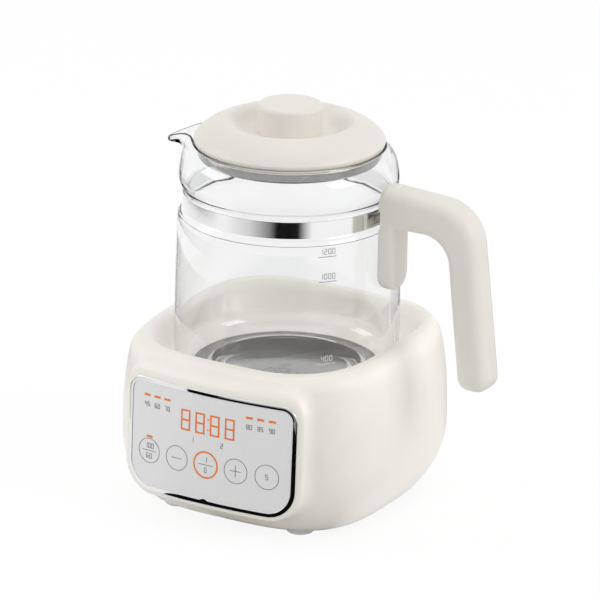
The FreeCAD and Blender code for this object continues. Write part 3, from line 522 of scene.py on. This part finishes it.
def base_turns():
    """Turns round the base, closer together where the panel's block has its sides."""
    front, spread, fine, coarse = 270, 6, 0.3, 1.4
    edge = np.degrees(math.atan2(PANEL_WIDTH + PAD_BORDER, PANEL_FACE - 8.0))
    near = np.arange(edge - spread + 1, edge + spread, fine)
    even = [t for t in np.arange(0, 360, coarse)
            if min(abs(t - (front - edge)), abs(t - (front + edge))) > spread]
    return np.radians(np.sort(np.concatenate([even, front - near, front + near])))


def base_heights():
    """Heights up the outside, closer at the ledge under the panel and at the rim."""
    ledge = PANEL_Z - PANEL_HEIGHT - PAD_BORDER
    heights = list(np.arange(BASE_FLOOR, ledge - 3, 1.6))
    heights += list(np.arange(ledge - 3, ledge + 6, 0.4))
    heights += list(np.arange(ledge + 6.5, BASE_TOP - RIM_UP, 2.6))
    heights += [BASE_TOP - RIM_UP * (1 - math.sin(a)) for a in np.radians(np.linspace(1, 89, 24))]
    return heights


def round_box(x, z, half_x, top, low, top_corner, low_corner):
    """Distance outside a rounded box outline that reaches top above and low below zero."""
    corner = np.where(z > 0, top_corner, low_corner)
    middle = (top - low) / 2
    dx = np.abs(x) - half_x + corner
    dz = np.abs(z - middle) - (top + low) / 2 + corner
    return np.minimum(np.maximum(dx, dz), 0) + np.hypot(np.maximum(dx, 0), np.maximum(dz, 0)) - corner


def pad_distance(x, y, z):
    """Distance outside the raised block that carries the panel."""
    back, up = y + PANEL_FACE, z - PANEL_Z
    depth = back * math.cos(PANEL_LEAN) - up * math.sin(PANEL_LEAN)
    rise = back * math.sin(PANEL_LEAN) + up * math.cos(PANEL_LEAN)
    past = np.clip(rise - (PANEL_HEIGHT + PAD_BORDER - 1.0), 0, PAD_ROLL)
    front = PAD_SUNK + x * x / (2 * PANEL_BOW) + PAD_ROLL - np.sqrt(PAD_ROLL ** 2 - past ** 2)
    outside = round_box(x, rise, PANEL_WIDTH + PAD_BORDER, PANEL_HEIGHT + PAD_BORDER + PAD_RISE,
                        PANEL_HEIGHT + PAD_BORDER, PAD_TOP_CORNER, PANEL_LOW_CORNER + PAD_BORDER)
    a, b = outside + PAD_EDGE, front - depth + PAD_EDGE
    block = np.minimum(np.maximum(a, b), 0) + np.hypot(np.maximum(a, 0), np.maximum(b, 0)) - PAD_EDGE
    return np.maximum(block, y - PAD_BACK)


def base_side(turns, z):
    """Radius of the outside at one height, with the block blended into the body."""
    start, pace, steps = 120.0, 0.9, 70
    half = BASE_HALF - side_inset(z)
    body = square_reach(turns, half, SQUARENESS)
    slant = np.gradient(body, turns) / body
    lift = (side_inset(z + 0.5) - side_inset(z - 0.5)) if z < BASE_TOP - 1.5 else 3.0
    flat = 1 / np.sqrt(1 + slant ** 2 + lift ** 2)
    reach = np.full_like(turns, start)
    for _ in range(steps):
        x, y = reach * np.cos(turns), reach * np.sin(turns)
        a, b = (reach - body) * flat, pad_distance(x, y, np.full_like(x, z))
        mix = np.clip(0.5 + 0.5 * (b - a) / PAD_BLEND, 0, 1)
        reach = reach - pace * (b + (a - b) * mix - PAD_BLEND * mix * (1 - mix))
    return reach


def front_dip(turns, z):
    """How much lower the rim lies at the front than at its highest."""
    round_front = np.clip(np.cos(turns - FRONT_DIP_TURN) * 0.75 + 0.45, 0, 1)
    above, below_top = z - WELL_FLOOR - FRONT_DIP_START, BASE_TOP - WELL_FLOOR - FRONT_DIP_START
    near_rim = np.clip(above / below_top, 0, 1)
    return FRONT_DIP * round_front * round_front * near_rim * near_rim


def well_run(crest):
    """Height, half width and squareness of the shell from the rim down to the floor of the well."""
    rise, square, step = BASE_TOP - WELL_FLOOR, SQUARENESS - 2, WELL_MOUTH - WELL_FOOT
    rim = [(BASE_TOP, crest + RIM_WIDTH, SQUARENESS), (BASE_TOP, crest + 0.8, SQUARENESS)]
    return rim + list(eased([
        (BASE_TOP - 0.4, crest - 0.4, SQUARENESS),
        (BASE_TOP - 0.05 * rise, WELL_MOUTH + 0.62 * (crest - WELL_MOUTH), 2 + 0.95 * square),
        (BASE_TOP - 0.16 * rise, WELL_MOUTH + 0.28 * (crest - WELL_MOUTH), 2 + 0.8 * square),
        (BASE_TOP - 0.36 * rise, WELL_MOUTH + 0.03 * step, 2 + 0.55 * square),
        (WELL_FLOOR + 0.36 * rise, WELL_MOUTH - 0.09 * step, 2 + 0.22 * square),
        (WELL_FLOOR + 0.12 * rise, WELL_FOOT + 0.45 * step, 2 + 0.04 * square),
        (WELL_FLOOR, WELL_FOOT, 2.0)], 5))


def inner_run():
    """The same values from the hole in the well's floor back down inside the shell to its foot."""
    under, shoulder = WELL_FLOOR - SHELL_WALL, BASE_TOP - 0.36 * (BASE_TOP - WELL_FLOOR)
    behind = WELL_MOUTH + SHELL_WALL
    run = [(WELL_FLOOR, WELL_HOLE, 2.0), (under, WELL_HOLE, 2.0), (under, WELL_FOOT + SHELL_WALL, 2.0),
           (shoulder, behind, 2 + 0.55 * (SQUARENESS - 2)),
           (CEILING_Z, behind + 0.6, 3.0), (CEILING_Z, behind + 2.6, 3.1)]
    return run + [(z, BASE_HALF - side_inset(z) - SHELL_WALL, SQUARENESS) for z in INNER_HEIGHTS]


def base_shell():
    """Housing of the base with its well, its flared rim and the raised block for the panel."""
    turns = base_turns()
    c, s = np.cos(turns), np.sin(turns)

    def loop(reach, z):
        return np.stack([reach * c, reach * s, np.full_like(c, z)], 1)

    crest = BASE_HALF - side_inset(BASE_TOP) - RIM_WIDTH
    rows = [loop(base_side(turns, z), z) for z in base_heights()]
    for z, half, power in well_run(crest) + inner_run():
        rows.append(loop(square_reach(turns, half, power), z))
    for row in rows:
        row[:, 2] -= front_dip(turns, row[:, 2])
    points, faces = loops_mesh(rows, closed_rows=True)
    shell = mesh_object("base_shell", points, faces, cream, "base")
    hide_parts("base_housing")


# Control panel

def on_panel(x, z, lift):
    """Place on the bowed, leaning face of the touch panel, lift above its surface."""
    depth = TOUCH_SUNK + x * x / (2 * PANEL_BOW) - lift
    return (x, depth * math.cos(PANEL_LEAN) + z * math.sin(PANEL_LEAN) - PANEL_FACE,
            PANEL_Z - depth * math.sin(PANEL_LEAN) + z * math.cos(PANEL_LEAN))


def outline_points(grow):
    """Points round the panel's outline, grown or drawn in."""
    corners = ((1, 1, PANEL_TOP_CORNER, 0), (-1, 1, PANEL_TOP_CORNER, 90),
               (-1, -1, PANEL_LOW_CORNER, 180), (1, -1, PANEL_LOW_CORNER, 270))
    longest = 3
    run = []
    for side_x, side_z, corner, start in corners:
        middle_x, middle_z = side_x * (PANEL_WIDTH - corner), side_z * (PANEL_HEIGHT - corner)
        r = corner + grow
        for t in np.radians(np.linspace(start, start + 90, 19)):
            run.append((middle_x + r * math.cos(t), middle_z + r * math.sin(t)))
    dense = []
    for (x0, z0), (x1, z1) in zip(run, run[1:] + run[:1]):
        parts = max(1, int(math.hypot(x1 - x0, z1 - z0) / longest))
        dense += [(x0 + (x1 - x0) * i / parts, z0 + (z1 - z0) * i / parts) for i in range(parts)]
    return dense


def bezel_profile():
    """Growth of the outline and lift over the panel, round the section of the ring."""
    face = TOUCH_SUNK - 0.03
    run = [(-BEZEL_WIDTH, -BEZEL_DEPTH), (-BEZEL_WIDTH, 0.03), (-BEZEL_LAP, 0.03), (-BEZEL_LAP, 0.1),
           (-BEZEL_LAP + 0.08, 0.16), (-BEZEL_LAP + 0.25, face - 0.01), (-BEZEL_ROUND, face)]
    run += [(-BEZEL_ROUND + BEZEL_ROUND * math.sin(t), face - BEZEL_ROUND + BEZEL_ROUND * math.cos(t))
            for t in np.linspace(0.3, math.pi / 2, 5)]
    return run + [(0.0, -BEZEL_DEPTH)]


def notched(x, z, grow, lift):
    """Height on the panel of a point of the ring, raised at the notch in its lower edge."""
    if lift <= 0 or z >= -PANEL_HEIGHT + BEZEL_LAP + 0.4:
        return z
    peak = max(0.0, 1 - abs(x - MARKS_X + NOTCH_LEFT) / NOTCH_HALF)
    return z + NOTCH_HEIGHT * peak * (-grow / BEZEL_LAP)


def bezel_ring():
    """Polished flat ring that laps over the panel, with a small notch in its lower edge."""
    rows = [[on_panel(x, notched(x, z, grow, lift), lift) for x, z in outline_points(grow)]
            for grow, lift in bezel_profile()]
    points, faces = loops_mesh(rows, closed_rows=True)
    ring = mesh_object("bezel_ring", points, faces, chrome, "base")
    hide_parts("panel_bezel")


def ribbon(path, width, closed=False, lift=MARK_LIFT):
    """Thin raised line along points of the panel."""
    p = np.array(path, float)
    if closed:
        ahead, behind = np.roll(p, -1, 0), np.roll(p, 1, 0)
    else:
        ahead, behind = np.vstack([p[1:], p[-1:]]), np.vstack([p[:1], p[:-1]])
    way = ahead - behind
    way /= np.linalg.norm(way, axis=1)[:, None]
    side = np.stack([-way[:, 1], way[:, 0]], 1) * width / 2
    rows = []
    for a, b in zip(p - side, p + side):
        section = ((a, MARK_ROOT), (a, lift), (b, lift), (b, MARK_ROOT))
        rows.append([on_panel(*place, height) for place, height in section])
    return loops_mesh(rows, closed_rows=closed, caps=not closed)


def printed(name, parts, material, body="base"):
    """Joins ribbons into one printed mark."""
    points, faces = [], []
    for some, quads in parts:
        start = len(points)
        points += some
        faces += [tuple(start + i for i in quad) for quad in quads]
    return mesh_object(name, points, faces, material, body, flat=True)


# Segments of a digit in a box one wide and two high, the segments of each digit, and the
# lift of the first segment with the small step to the next, so that none lies in another
SEGMENTS = {"a": ((0, 2), (1, 2)), "b": ((1, 2), (1, 1)), "c": ((1, 1), (1, 0)), "d": ((0, 0), (1, 0)),
            "e": ((0, 1), (0, 0)), "f": ((0, 2), (0, 1)), "g": ((0, 1), (1, 1))}
DIGITS = {"0": "abcdef", "1": "bc", "2": "abged", "3": "abgcd", "4": "fgbc", "5": "afgcd",
          "6": "afgedc", "7": "abc", "8": "abcdefg", "9": "abfgcd"}
SEGMENT_LIFT = 0.054
SEGMENT_STEP = 0.002


def digit_parts(digit, x, z, width, height, stroke):
    """Segments of one digit, centred at a place on the panel."""
    parts = []
    for key in DIGITS[digit]:
        (x0, z0), (x1, z1) = SEGMENTS[key]
        a = np.array([x + (x0 - 0.5) * width, z + (z0 - 1) * height / 2])
        b = np.array([x + (x1 - 0.5) * width, z + (z1 - 1) * height / 2])
        grow = (b - a) / np.linalg.norm(b - a) * stroke / 2
        lift = SEGMENT_LIFT + SEGMENT_STEP * list(SEGMENTS).index(key)
        parts.append(ribbon([a - grow, b + grow], stroke, lift=lift))
    return parts


def number(text, x, z, height):
    """A plain number in thin strokes, centred at a place on the panel."""
    pitch, width = 0.8 * height, 0.48 * height
    parts = []
    for i, digit in enumerate(text):
        place = x + (i - (len(text) - 1) / 2) * pitch
        parts += digit_parts(digit, place, z, width, height, THIN_DIGIT)
    return parts


def circle(x, z, radius):
    """Points round a circle on the panel."""
    turns = np.linspace(0, 2 * np.pi, 64, endpoint=False)
    return [(x + radius * math.cos(t), z + radius * math.sin(t)) for t in turns]


def level(x, z, half):
    """Thin level line on the panel, given by its middle and half its length."""
    return ribbon([(x - half, z), (x + half, z)], THIN_LINE)


def dash(x, z):
    """Short thick line with a point near each end."""
    half = DASH_LENGTH / 2 - DASH_WIDTH / 2
    run = [(x - half - DASH_WIDTH / 2, z), (x - half, z), (x + half, z), (x + half + DASH_WIDTH / 2, z)]
    return ribbon(run, DASH_WIDTH)


def display_marks(keys):
    """Orange marks: four digits, a colon, dashes and the ring round the middle key."""
    parts = []
    for i in range(4):
        x = MARKS_X + 0.4 + (i - 1.5) * DIGIT_PITCH
        parts += digit_parts("8", x, DIGIT_Z, DIGIT_WIDTH, DIGIT_HEIGHT, DIGIT_STROKE)
    for z in (DIGIT_Z - COLON_UP, DIGIT_Z + COLON_UP):
        parts.append(ribbon([(MARKS_X + 0.35, z), (MARKS_X + 1.25, z)], COLON_SIZE))
    for side in (-1, 1):
        parts += [dash(MARKS_X + side * DASHES_X + DASH_PITCH * i, DASH_Z) for i in (-1, 0, 1)]
    parts.append(dash(keys[0], KEY_Z + KEY_DASH_UP))
    parts.append(ribbon(circle(keys[2], KEY_Z, KEY_RING_RADIUS), KEY_RING_WIDTH, closed=True))
    return parts


def key_marks(keys):
    """Thin grey circles, signs and plain numbers of the keys and of the lamps."""
    parts = [ribbon(circle(x, KEY_Z, KEY_RADIUS), THIN_LINE, closed=True) for x in keys if x != keys[2]]
    parts += [level(x, KEY_Z, KEY_SIGN) for x in (keys[1], keys[3])]
    upright = [(keys[3], KEY_Z - KEY_SIGN_UP), (keys[3], KEY_Z + KEY_SIGN_UP)]
    parts.append(ribbon(upright, THIN_LINE, lift=MARK_LIFT + 0.01))
    parts += [level(x, KEY_Z, KEY_DIVIDER) for x in (keys[0], keys[2])]
    for x, above, below in ((keys[0], "100", "60"), (keys[2], "1", "0"), (keys[4], "5", "")):
        parts += number(above, x, KEY_Z + (KEY_LABEL_UP if below else 0.0), KEY_LABEL)
        parts += number(below, x, KEY_Z - KEY_LABEL_UP, KEY_LABEL)
    for side, labels in ((-1, ("45", "60", "70")), (1, ("80", "85", "90"))):
        for i, label in enumerate(labels):
            parts += number(label, MARKS_X + side * DASHES_X + DASH_PITCH * (i - 1), LAMP_LABEL_Z, LAMP_LABEL)
    for x, label in ((MARKS_X - 9.4, "1"), (MARKS_X + 10.2, "2")):
        parts += number(label, x, TOUCH_LABEL_Z, TOUCH_LABEL)
    return parts


def panel_marks():
    """Lit and printed marks on the touch panel."""
    keys = [MARKS_X + KEY_PITCH * i for i in range(-2, 3)]
    printed("display_marks", display_marks(keys), orange_ink)
    printed("key_marks", key_marks(keys), grey_ink)


# Jug

def beak_share(turn):
    """How much of the beak's outline the glass takes at a turn away from the spout."""
    if abs(turn) >= SPOUT_WIDE:
        return 0.0
    return (1 - (turn / SPOUT_WIDE) ** 2) ** 2 / (1 + (abs(turn) / SPOUT_NARROW) ** 2.1)


def jug_side():
    """Outside of the glass from the middle of its foot to the top of the waist."""
    r, foot, ring, corner = JUG_RADIUS, FOOT_Z, FOOT_RING, FOOT_CORNER
    rise = SHOULDER_Z - foot
    run = [(0.0, foot + PUSH_UP), (ring - 4, foot + PUSH_UP), (ring - 2, foot + 0.7), (ring, foot),
           (r - corner - 1, foot)]
    run += corner_run(r - corner, foot + corner, corner, -90, 0, 12)
    run += [tuple(p) for p in eased([
        (r, foot + corner + 0.5), (r, foot + SIDE_STRAIGHT * rise), (r - 0.3, foot + 0.7 * rise),
        (r - SIDE_TAPER, SHOULDER_Z), (WAIST_RADIUS + 1.9, SHOULDER_Z + 5.5),
        (WAIST_RADIUS + 0.1, WAIST_LOW), (WAIST_RADIUS, WAIST_LOW + 2.5),
        (WAIST_RADIUS, WAIST_HIGH - 2.5)], 8)]
    return np.array(run)


def resampled(run, count):
    """The same run with evenly spaced points."""
    run = np.array(run)
    steps = np.concatenate([[0], np.cumsum(np.hypot(*np.diff(run, axis=0).T))])
    even = np.linspace(0, steps[-1], count)
    return np.stack([np.interp(even, steps, run[:, 0]), np.interp(even, steps, run[:, 1])], 1)


def jug_head():
    """Bulge up to the outer edge of the mouth, plain and through the middle of the beak."""
    rise, m, tip, neck = MOUTH_Z - BULGE_Z, MOUTH_RADIUS, SPOUT_REACH, WAIST_HIGH
    plain = eased([
        (WAIST_RADIUS, neck - 0.5), (WAIST_RADIUS + 1.5, neck + 2.2), (BULGE_RADIUS, BULGE_Z),
        (BULGE_RADIUS - 1.6, BULGE_Z + 0.47 * rise), (m + 2.8, BULGE_Z + 0.74 * rise),
        (m + 0.3, MOUTH_Z - 2.4), (m - 0.4, MOUTH_Z - 0.7)], 8)
    beak = eased([
        (WAIST_RADIUS, neck - 0.5), (tip - 17.5, neck + 2.7), (tip - 14.5, neck + 4.7),
        (tip - 13.1, neck + 7.2), (tip - 12.9, neck + 10.0), (tip - 11.8, neck + 12.4),
        (tip - 9.4, neck + 13.4), (tip - 3.6, neck + 13.1), (tip - 1.2, neck + 12.9),
        (tip - 0.2, neck + 13.7), (tip, neck + 15.6)], 6)
    return resampled(plain, HEAD_POINTS), resampled(beak, HEAD_POINTS)


def drawn_in(run, wall):
    """The run moved square to itself by the wall, towards the inside of the jug."""
    run = np.array(run)
    way = np.gradient(run, axis=0)
    way /= np.maximum(np.linalg.norm(way, axis=1), 1e-9)[:, None]
    return run + np.stack([-way[:, 1], way[:, 0]], 1) * np.reshape(wall, (-1, 1))


def jug_column(bottom, plain, beak, share):
    """Closed section of the glass at one turn, up the outside, over the lip and down the inside."""
    head = plain * (1 - share) + beak * share
    head[:, 1] += SPOUT_LIFT * share * (1 - share) * np.linspace(0, 1, len(head)) ** 6
    outer = np.vstack([bottom, head])
    lip = GLASS_LIP - 0.3 * share
    wall = np.concatenate([np.full(len(bottom), GLASS_WALL), np.linspace(GLASS_WALL, lip, len(head))])
    inner = drawn_in(outer, wall)
    inner[:, 0] = np.maximum(inner[:, 0], 0)
    inner[:FLOOR_POINTS, 1] = FOOT_Z + GLASS_FLOOR
    crown = (outer[-1] + inner[-1]) / 2 + np.array([0.0, LIP_CROWN])
    rounding = eased([outer[-1], crown, inner[-1]], 4)[1:-1]
    return np.vstack([outer, rounding, inner[::-1]])


def jug_glass():
    """Glass of the jug, with more columns of points near the spout than at the handle."""
    steps = np.linspace(-1, 1, JUG_COLUMNS + 1)[:-1]
    offsets = math.pi * (0.22 * steps + 0.78 * steps ** 3)
    plain, beak = jug_head()
    bottom = jug_side()[:-1]
    columns = np.array([jug_column(bottom, plain, beak, beak_share(off)) for off in offsets])
    turns = math.pi + offsets
    loops = []
    for k in range(columns.shape[1]):
        r, z = columns[:, k, 0], columns[:, k, 1]
        loops.append(np.stack([r * np.cos(turns), r * np.sin(turns), z], 1))
    points, faces = loops_mesh(loops)
    jug = mesh_object("jug_glass", points, faces, glass, "carafe")
    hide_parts("glass_jug")


def on_glass(across, z, lift):
    """Place on the outside of the jug's side, across from the middle of the volume marks."""
    turn = VOLUME_TURN + across / JUG_RADIUS
    rise = (z - FOOT_Z) / (SHOULDER_Z - FOOT_Z)
    r = JUG_RADIUS - SIDE_TAPER * max(0.0, (rise - SIDE_STRAIGHT) / (1 - SIDE_STRAIGHT)) ** 2 + lift
    return (r * math.cos(turn), r * math.sin(turn), z)


def glass_stroke(start, end, width, z):
    """Thin raised stroke on the glass, its ends given across and above a height."""
    start, end = np.array(start), np.array(end)
    way = (end - start) / max(1e-6, math.hypot(*(end - start)))
    side = np.array([-way[1], way[0]]) * width / 2
    rows = []
    for t in np.linspace(0, 1, 6):
        middle = start + t * (end - start)
        a, b = middle - side, middle + side
        section = ((a, 0.0), (a, VOLUME_LIFT), (b, VOLUME_LIFT), (b, 0.0))
        rows.append([on_glass(across, z + up, lift) for (across, up), lift in section])
    return loops_mesh(rows, caps=True)


def volume_marks():
    """Lines and plain numbers for the volumes on the side of the jug."""
    marks = (("400", 100.5, white_ink), ("1000", 149.7, faint_ink), ("1200", 164.4, faint_ink))
    for text, z, material in marks:
        parts = [glass_stroke((-VOLUME_LINE / 2, 0.0), (VOLUME_LINE / 2, 0.0), VOLUME_LINE_WIDTH, z)]
        for i, digit in enumerate(text):
            x = (i - (len(text) - 1) / 2) * VOLUME_PITCH
            for key in DIGITS[digit]:
                ends = [(x + (across - 0.5) * VOLUME_DIGIT, VOLUME_DIGIT_UP + up * VOLUME_DIGIT)
                        for across, up in SEGMENTS[key]]
                parts.append(glass_stroke(*ends, VOLUME_STROKE, z))
        printed("volume_" + text, parts, material, "carafe")


# Lid's ring and hot plate

def lid_ring():
    """Ribbed silicone ring in the mouth, with a lip under the edge of the lid."""
    inner, outer = seal_high.x - RING_DEPTH, seal_high.x
    low, high = seal_low.z, seal_high.z
    run = [(inner, low + 0.2), (outer - 1.0, low)]
    for i in range(RIBS):
        z = low + 0.35 + i * (high - low - 1.0) / RIBS
        run += [(outer - 0.5, z), (outer, z + 0.45), (outer, z + 0.8), (outer - 0.5, z + 1.2)]
    run += [(outer - 0.2, high - 0.3), (outer - 0.6, high), (inner, high)]
    points, faces = loops_mesh(turned(run), closed_rows=True)
    ring = mesh_object("lid_ring", points, faces, silicone, "lid")
    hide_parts("lid_seal")


def plate_profile():
    """Section of the plate: rounded edge, flat flange, raised bends round the bead, shallow middle."""
    top, low, r = plate_high.z, plate_low.z, plate_high.x
    b0, b1 = BEND_OUTER, BEND_INNER
    edge = [(r - 0.5 + 0.5 * math.cos(t), top - 0.5 + 0.5 * math.sin(t))
            for t in np.linspace(0.1, math.pi / 2, 6)]
    face = eased([
        (r - 2.0, top - 0.02), (b0 + 1.2, top - 0.35), (b0 + 0.3, top - 0.1), (b0 - 0.4, top - 0.4),
        (b0 - 1.6, top - 1.6), ((b0 + b1) / 2, top - 1.8), (b1 + 1.6, top - 1.6), (b1 + 0.4, top - 0.4),
        (b1 - 0.3, top - 0.1), (b1 - 1.6, top - 0.35), (0.5 * b1, top - 0.6), (0.5, top - 0.7)], 5)
    under = [(0.5, low + 0.9), (b1 - 2, low + 0.9), (b1, low), (b0, low), (b0 + 2, low + 1.6)]
    return [(r - 0.1, low + 1.8)] + edge + face.tolist() + under


def plate_colour_zone(face):
    """Which of the plate's three materials a face has: 0 in the middle, 1 dark steel on the flange, 2 painted
    highlight on a bend.
    """
    reach = math.hypot(face.center.x - AXIS_X, face.center.y - AXIS_Y) / MM
    if reach > FLANGE_START:
        return 1
    return 2 if min(abs(reach - BEND_OUTER), abs(reach - BEND_INNER)) < BEND_WIDTH else 0


def plate_disc():
    """Pressed steel plate with a dark flange and two bends painted white as highlights."""
    points, faces = loops_mesh(turned(plate_profile()), closed_rows=True)
    disc = mesh_object("plate_disc", points, faces, plate_steel, "base")
    disc.data.materials.append(dark_steel)
    # The bends take white paint that stands in for their highlights.
    disc.data.materials.append(painted_highlight_bend)
    for face in disc.data.polygons:
        face.material_index = plate_colour_zone(face)
    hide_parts("hot_plate")


base_shell()
plate_disc()
lid_ring()
bezel_ring()
panel_marks()
jug_glass()
volume_marks()


# Stage, light and camera

# The cards' outlines are in millimetres from the axis of the jug, all else is in metres.
TABLE_GLOW = 1.03
TABLE_SHARE = 0.87
CARD_HEIGHT = 0.001
DIM_WORLD = 0.6
BRIGHT_WORLD = 1.0
JUG_AIM = (0, 0, 0.1)
WELL_AIM = (0, 0, 0.08)
BASE_AIM = (0, 0, 0.06)
CAMERA_PLACE = (AXIS_X + 1.424467, AXIS_Y - 2.460419, 1.124223)
CAMERA_TURN = [math.radians(angle) for angle in (70.48864, -0.89125, 30.23719)]
CAMERA_LENS = 313.02
LIT_BY_BASE_LAMPS = ("base_shell", "rubber_feet", "bottom_cover", "touch_panel")


def stage():
    """White table: lit by the lamps for shadows, plain white where it is seen."""
    bpy.ops.mesh.primitive_plane_add(size=8, location=(0, 0, 0))
    floor = bpy.context.object
    floor.name = "floor"
    mat, tree, bsdf = new_material("floor_white")
    set_values(mat, Base_Color=(0.9, 0.9, 0.9, 1), Roughness=0.9, Specular_IOR_Level=0.0)
    seen = seen_ray(tree)
    glow = glowing(tree, maths(tree, "MULTIPLY", seen, TABLE_GLOW))
    show(tree, mixed(tree, maths(tree, "MULTIPLY", seen, TABLE_SHARE), bsdf.outputs["BSDF"], glow))
    floor.data.materials.append(mat)


def soft_black():
    """Black that lets the table show through where the shade of a card fades."""
    mat, tree, bsdf = new_material("soft_black")
    set_values(mat, Base_Color=(0.004, 0.004, 0.004, 1), Specular_IOR_Level=0.0)
    shade = tree.nodes.new("ShaderNodeAttribute")
    shade.attribute_name = "shade"
    show(tree, mixed(tree, shade.outputs["Fac"], see_through(tree, 1.0), bsdf.outputs["BSDF"]))
    return mat


def far_point(azimuth, reach):
    """Place on the table at an azimuth in degrees and a reach in millimetres."""
    return (reach * math.cos(math.radians(azimuth)), reach * math.sin(math.radians(azimuth)))


def arc(reach, start, stop, step):
    """Places on the table along an arc."""
    return [far_point(azimuth, reach) for azimuth in range(start, stop, step)]


def on_table(points):
    """Places in millimetres from the jug's axis as points just above the table."""
    return [(x * MM + AXIS_X, y * MM + AXIS_Y, CARD_HEIGHT) for x, y in points]


def show_card(name, mesh, material):
    """Card that is seen only as a reflection."""
    card = bpy.data.objects.new(name, mesh)
    bpy.context.collection.objects.link(card)
    card.data.materials.append(material)
    card.visible_camera = False
    card.visible_diffuse = False
    card.visible_transmission = False
    card.visible_shadow = False


def soft_card(name, near, far, shades):
    """Part of a ring on the table, its shade given at some turns in degrees."""
    turns = np.arange(shades[0][0], shades[-1][0] + 0.1, 2.0)
    shade = np.interp(turns, [turn for turn, _ in shades], [value for _, value in shades])
    count = len(turns)
    faces = [(i, i + 1, count + i + 1, count + i) for i in range(count - 1)]
    mesh = bpy.data.meshes.new(name)
    mesh.from_pydata(on_table(far_point(turn, reach) for reach in (near, far) for turn in turns), [], faces)
    layer = mesh.attributes.new("shade", "FLOAT", "POINT")
    layer.data.foreach_set("value", np.tile(shade, 2))
    show_card(name, mesh, card_soft)


def black_card(name, points):
    """Black card of any outline on the table."""
    mesh = bpy.data.meshes.new(name)
    mesh.from_pydata(on_table(points), [], [tuple(range(len(points)))])
    show_card(name, mesh, card_black)


def cards():
    """Cards round the kettle, which show dark in the steel, the glass and the bezel."""
    black_card("card_near", [(-250.13, -430), (-30, -76), (90, -40)] + arc(400, 60, -96, -4))
    black_card("card_far", arc(545, 18, 43, 4) + arc(600, 42, 17, -4))
    soft_card("card_left_low", 280, 505, ((146, 1.0), (200, 1.0), (232, 0.0)))
    soft_card("card_left_high", 585, 800, ((146, 1.0), (196, 1.0), (224, 0.0)))
    black_card("card_right", arc(130, 62, 99, 6) + arc(760, 98, 61, -6))
    soft_card("card_camera", 320, 820,
              ((-128, 0.0), (-100, 0.3), (-80, 0.75), (-72, 1.0), (-50, 1.0), (-36, 0.0)))


def world():
    """White surroundings, dimmer for the light that they cast than where they are seen."""
    scene_world = bpy.data.worlds.new("studio")
    bpy.context.scene.world = scene_world
    scene_world.use_nodes = True
    tree = scene_world.node_tree
    back = tree.nodes["Background"]
    back.inputs["Color"].default_value = (1, 1, 1, 1)
    tree.links.new(ramp(tree, seen_ray(tree), 0, 1, DIM_WORLD, BRIGHT_WORLD), back.inputs["Strength"])


def lamp(name, place, aim, size, power):
    """Square lamp that faces a point."""
    data = bpy.data.lights.new(name, "AREA")
    data.shape = "RECTANGLE"
    data.size = size
    data.size_y = size
    data.energy = power
    lamp_object = bpy.data.objects.new(name, data)
    bpy.context.collection.objects.link(lamp_object)
    lamp_object.location = place
    lamp_object.rotation_euler = (Vector(aim) - Vector(place)).to_track_quat("-Z", "Y").to_euler()
    return lamp_object


def base_lamp(name, place, aim, size, power, lit):
    """Lamp that lights the base alone and isn't shaded by the jug or its lid."""
    lamp_object = lamp(name, place, aim, size, power)
    lamp_object.light_linking.receiver_collection = lit
    lamp_object.light_linking.blocker_collection = lit
    return lamp_object


def lamps():
    """Three lamps for everything and four for the base alone."""
    lamp("key", (2.2, 0.1, 1.4), JUG_AIM, 1.2, 15)
    lamp("fill", (-1.9, -0.8, 1.2), JUG_AIM, 1.0, 9)
    lamp("top", (0.0, 0.3, 2.2), JUG_AIM, 1.4, 6.5)
    lit_base = bpy.data.collections.new("lit_base")
    for name in LIT_BY_BASE_LAMPS:
        lit_base.objects.link(bpy.data.objects[name])
    base_lamp("well", (0.0, -0.2, 1.6), WELL_AIM, 0.8, 1.5, lit_base)
    x, y = AXIS_X - 0.006, AXIS_Y + 0.008
    inside = base_lamp("well_inside", (x, y, 0.13), (x, y, 0), 0.08, 0.018, lit_base)
    inside.visible_camera = False
    inside.visible_glossy = False
    inside.visible_transmission = False
    base_lamp("front", (-1.2, -1.7, 0.7), BASE_AIM, 0.8, 7, lit_base)
    base_lamp("side", (1.5, 1.2, 0.45), BASE_AIM, 0.8, 8, lit_base)


def camera():
    """Long lens from high at the front, so that edges stay almost parallel."""
    data = bpy.data.cameras.new("camera")
    data.lens = CAMERA_LENS
    data.sensor_width = 36
    data.clip_end = 30
    view = bpy.data.objects.new("camera", data)
    bpy.context.collection.objects.link(view)
    view.location = CAMERA_PLACE
    view.rotation_euler = CAMERA_TURN
    bpy.context.scene.camera = view


card_black = varied("card_black", (0.004, 0.004, 0.004), 0.9)
set_values(card_black, Specular_IOR_Level=0.0)
card_soft = soft_black()
stage()
cards()
world()
lamps()
camera()
bpy.context.scene.view_settings.view_transform = "Standard"
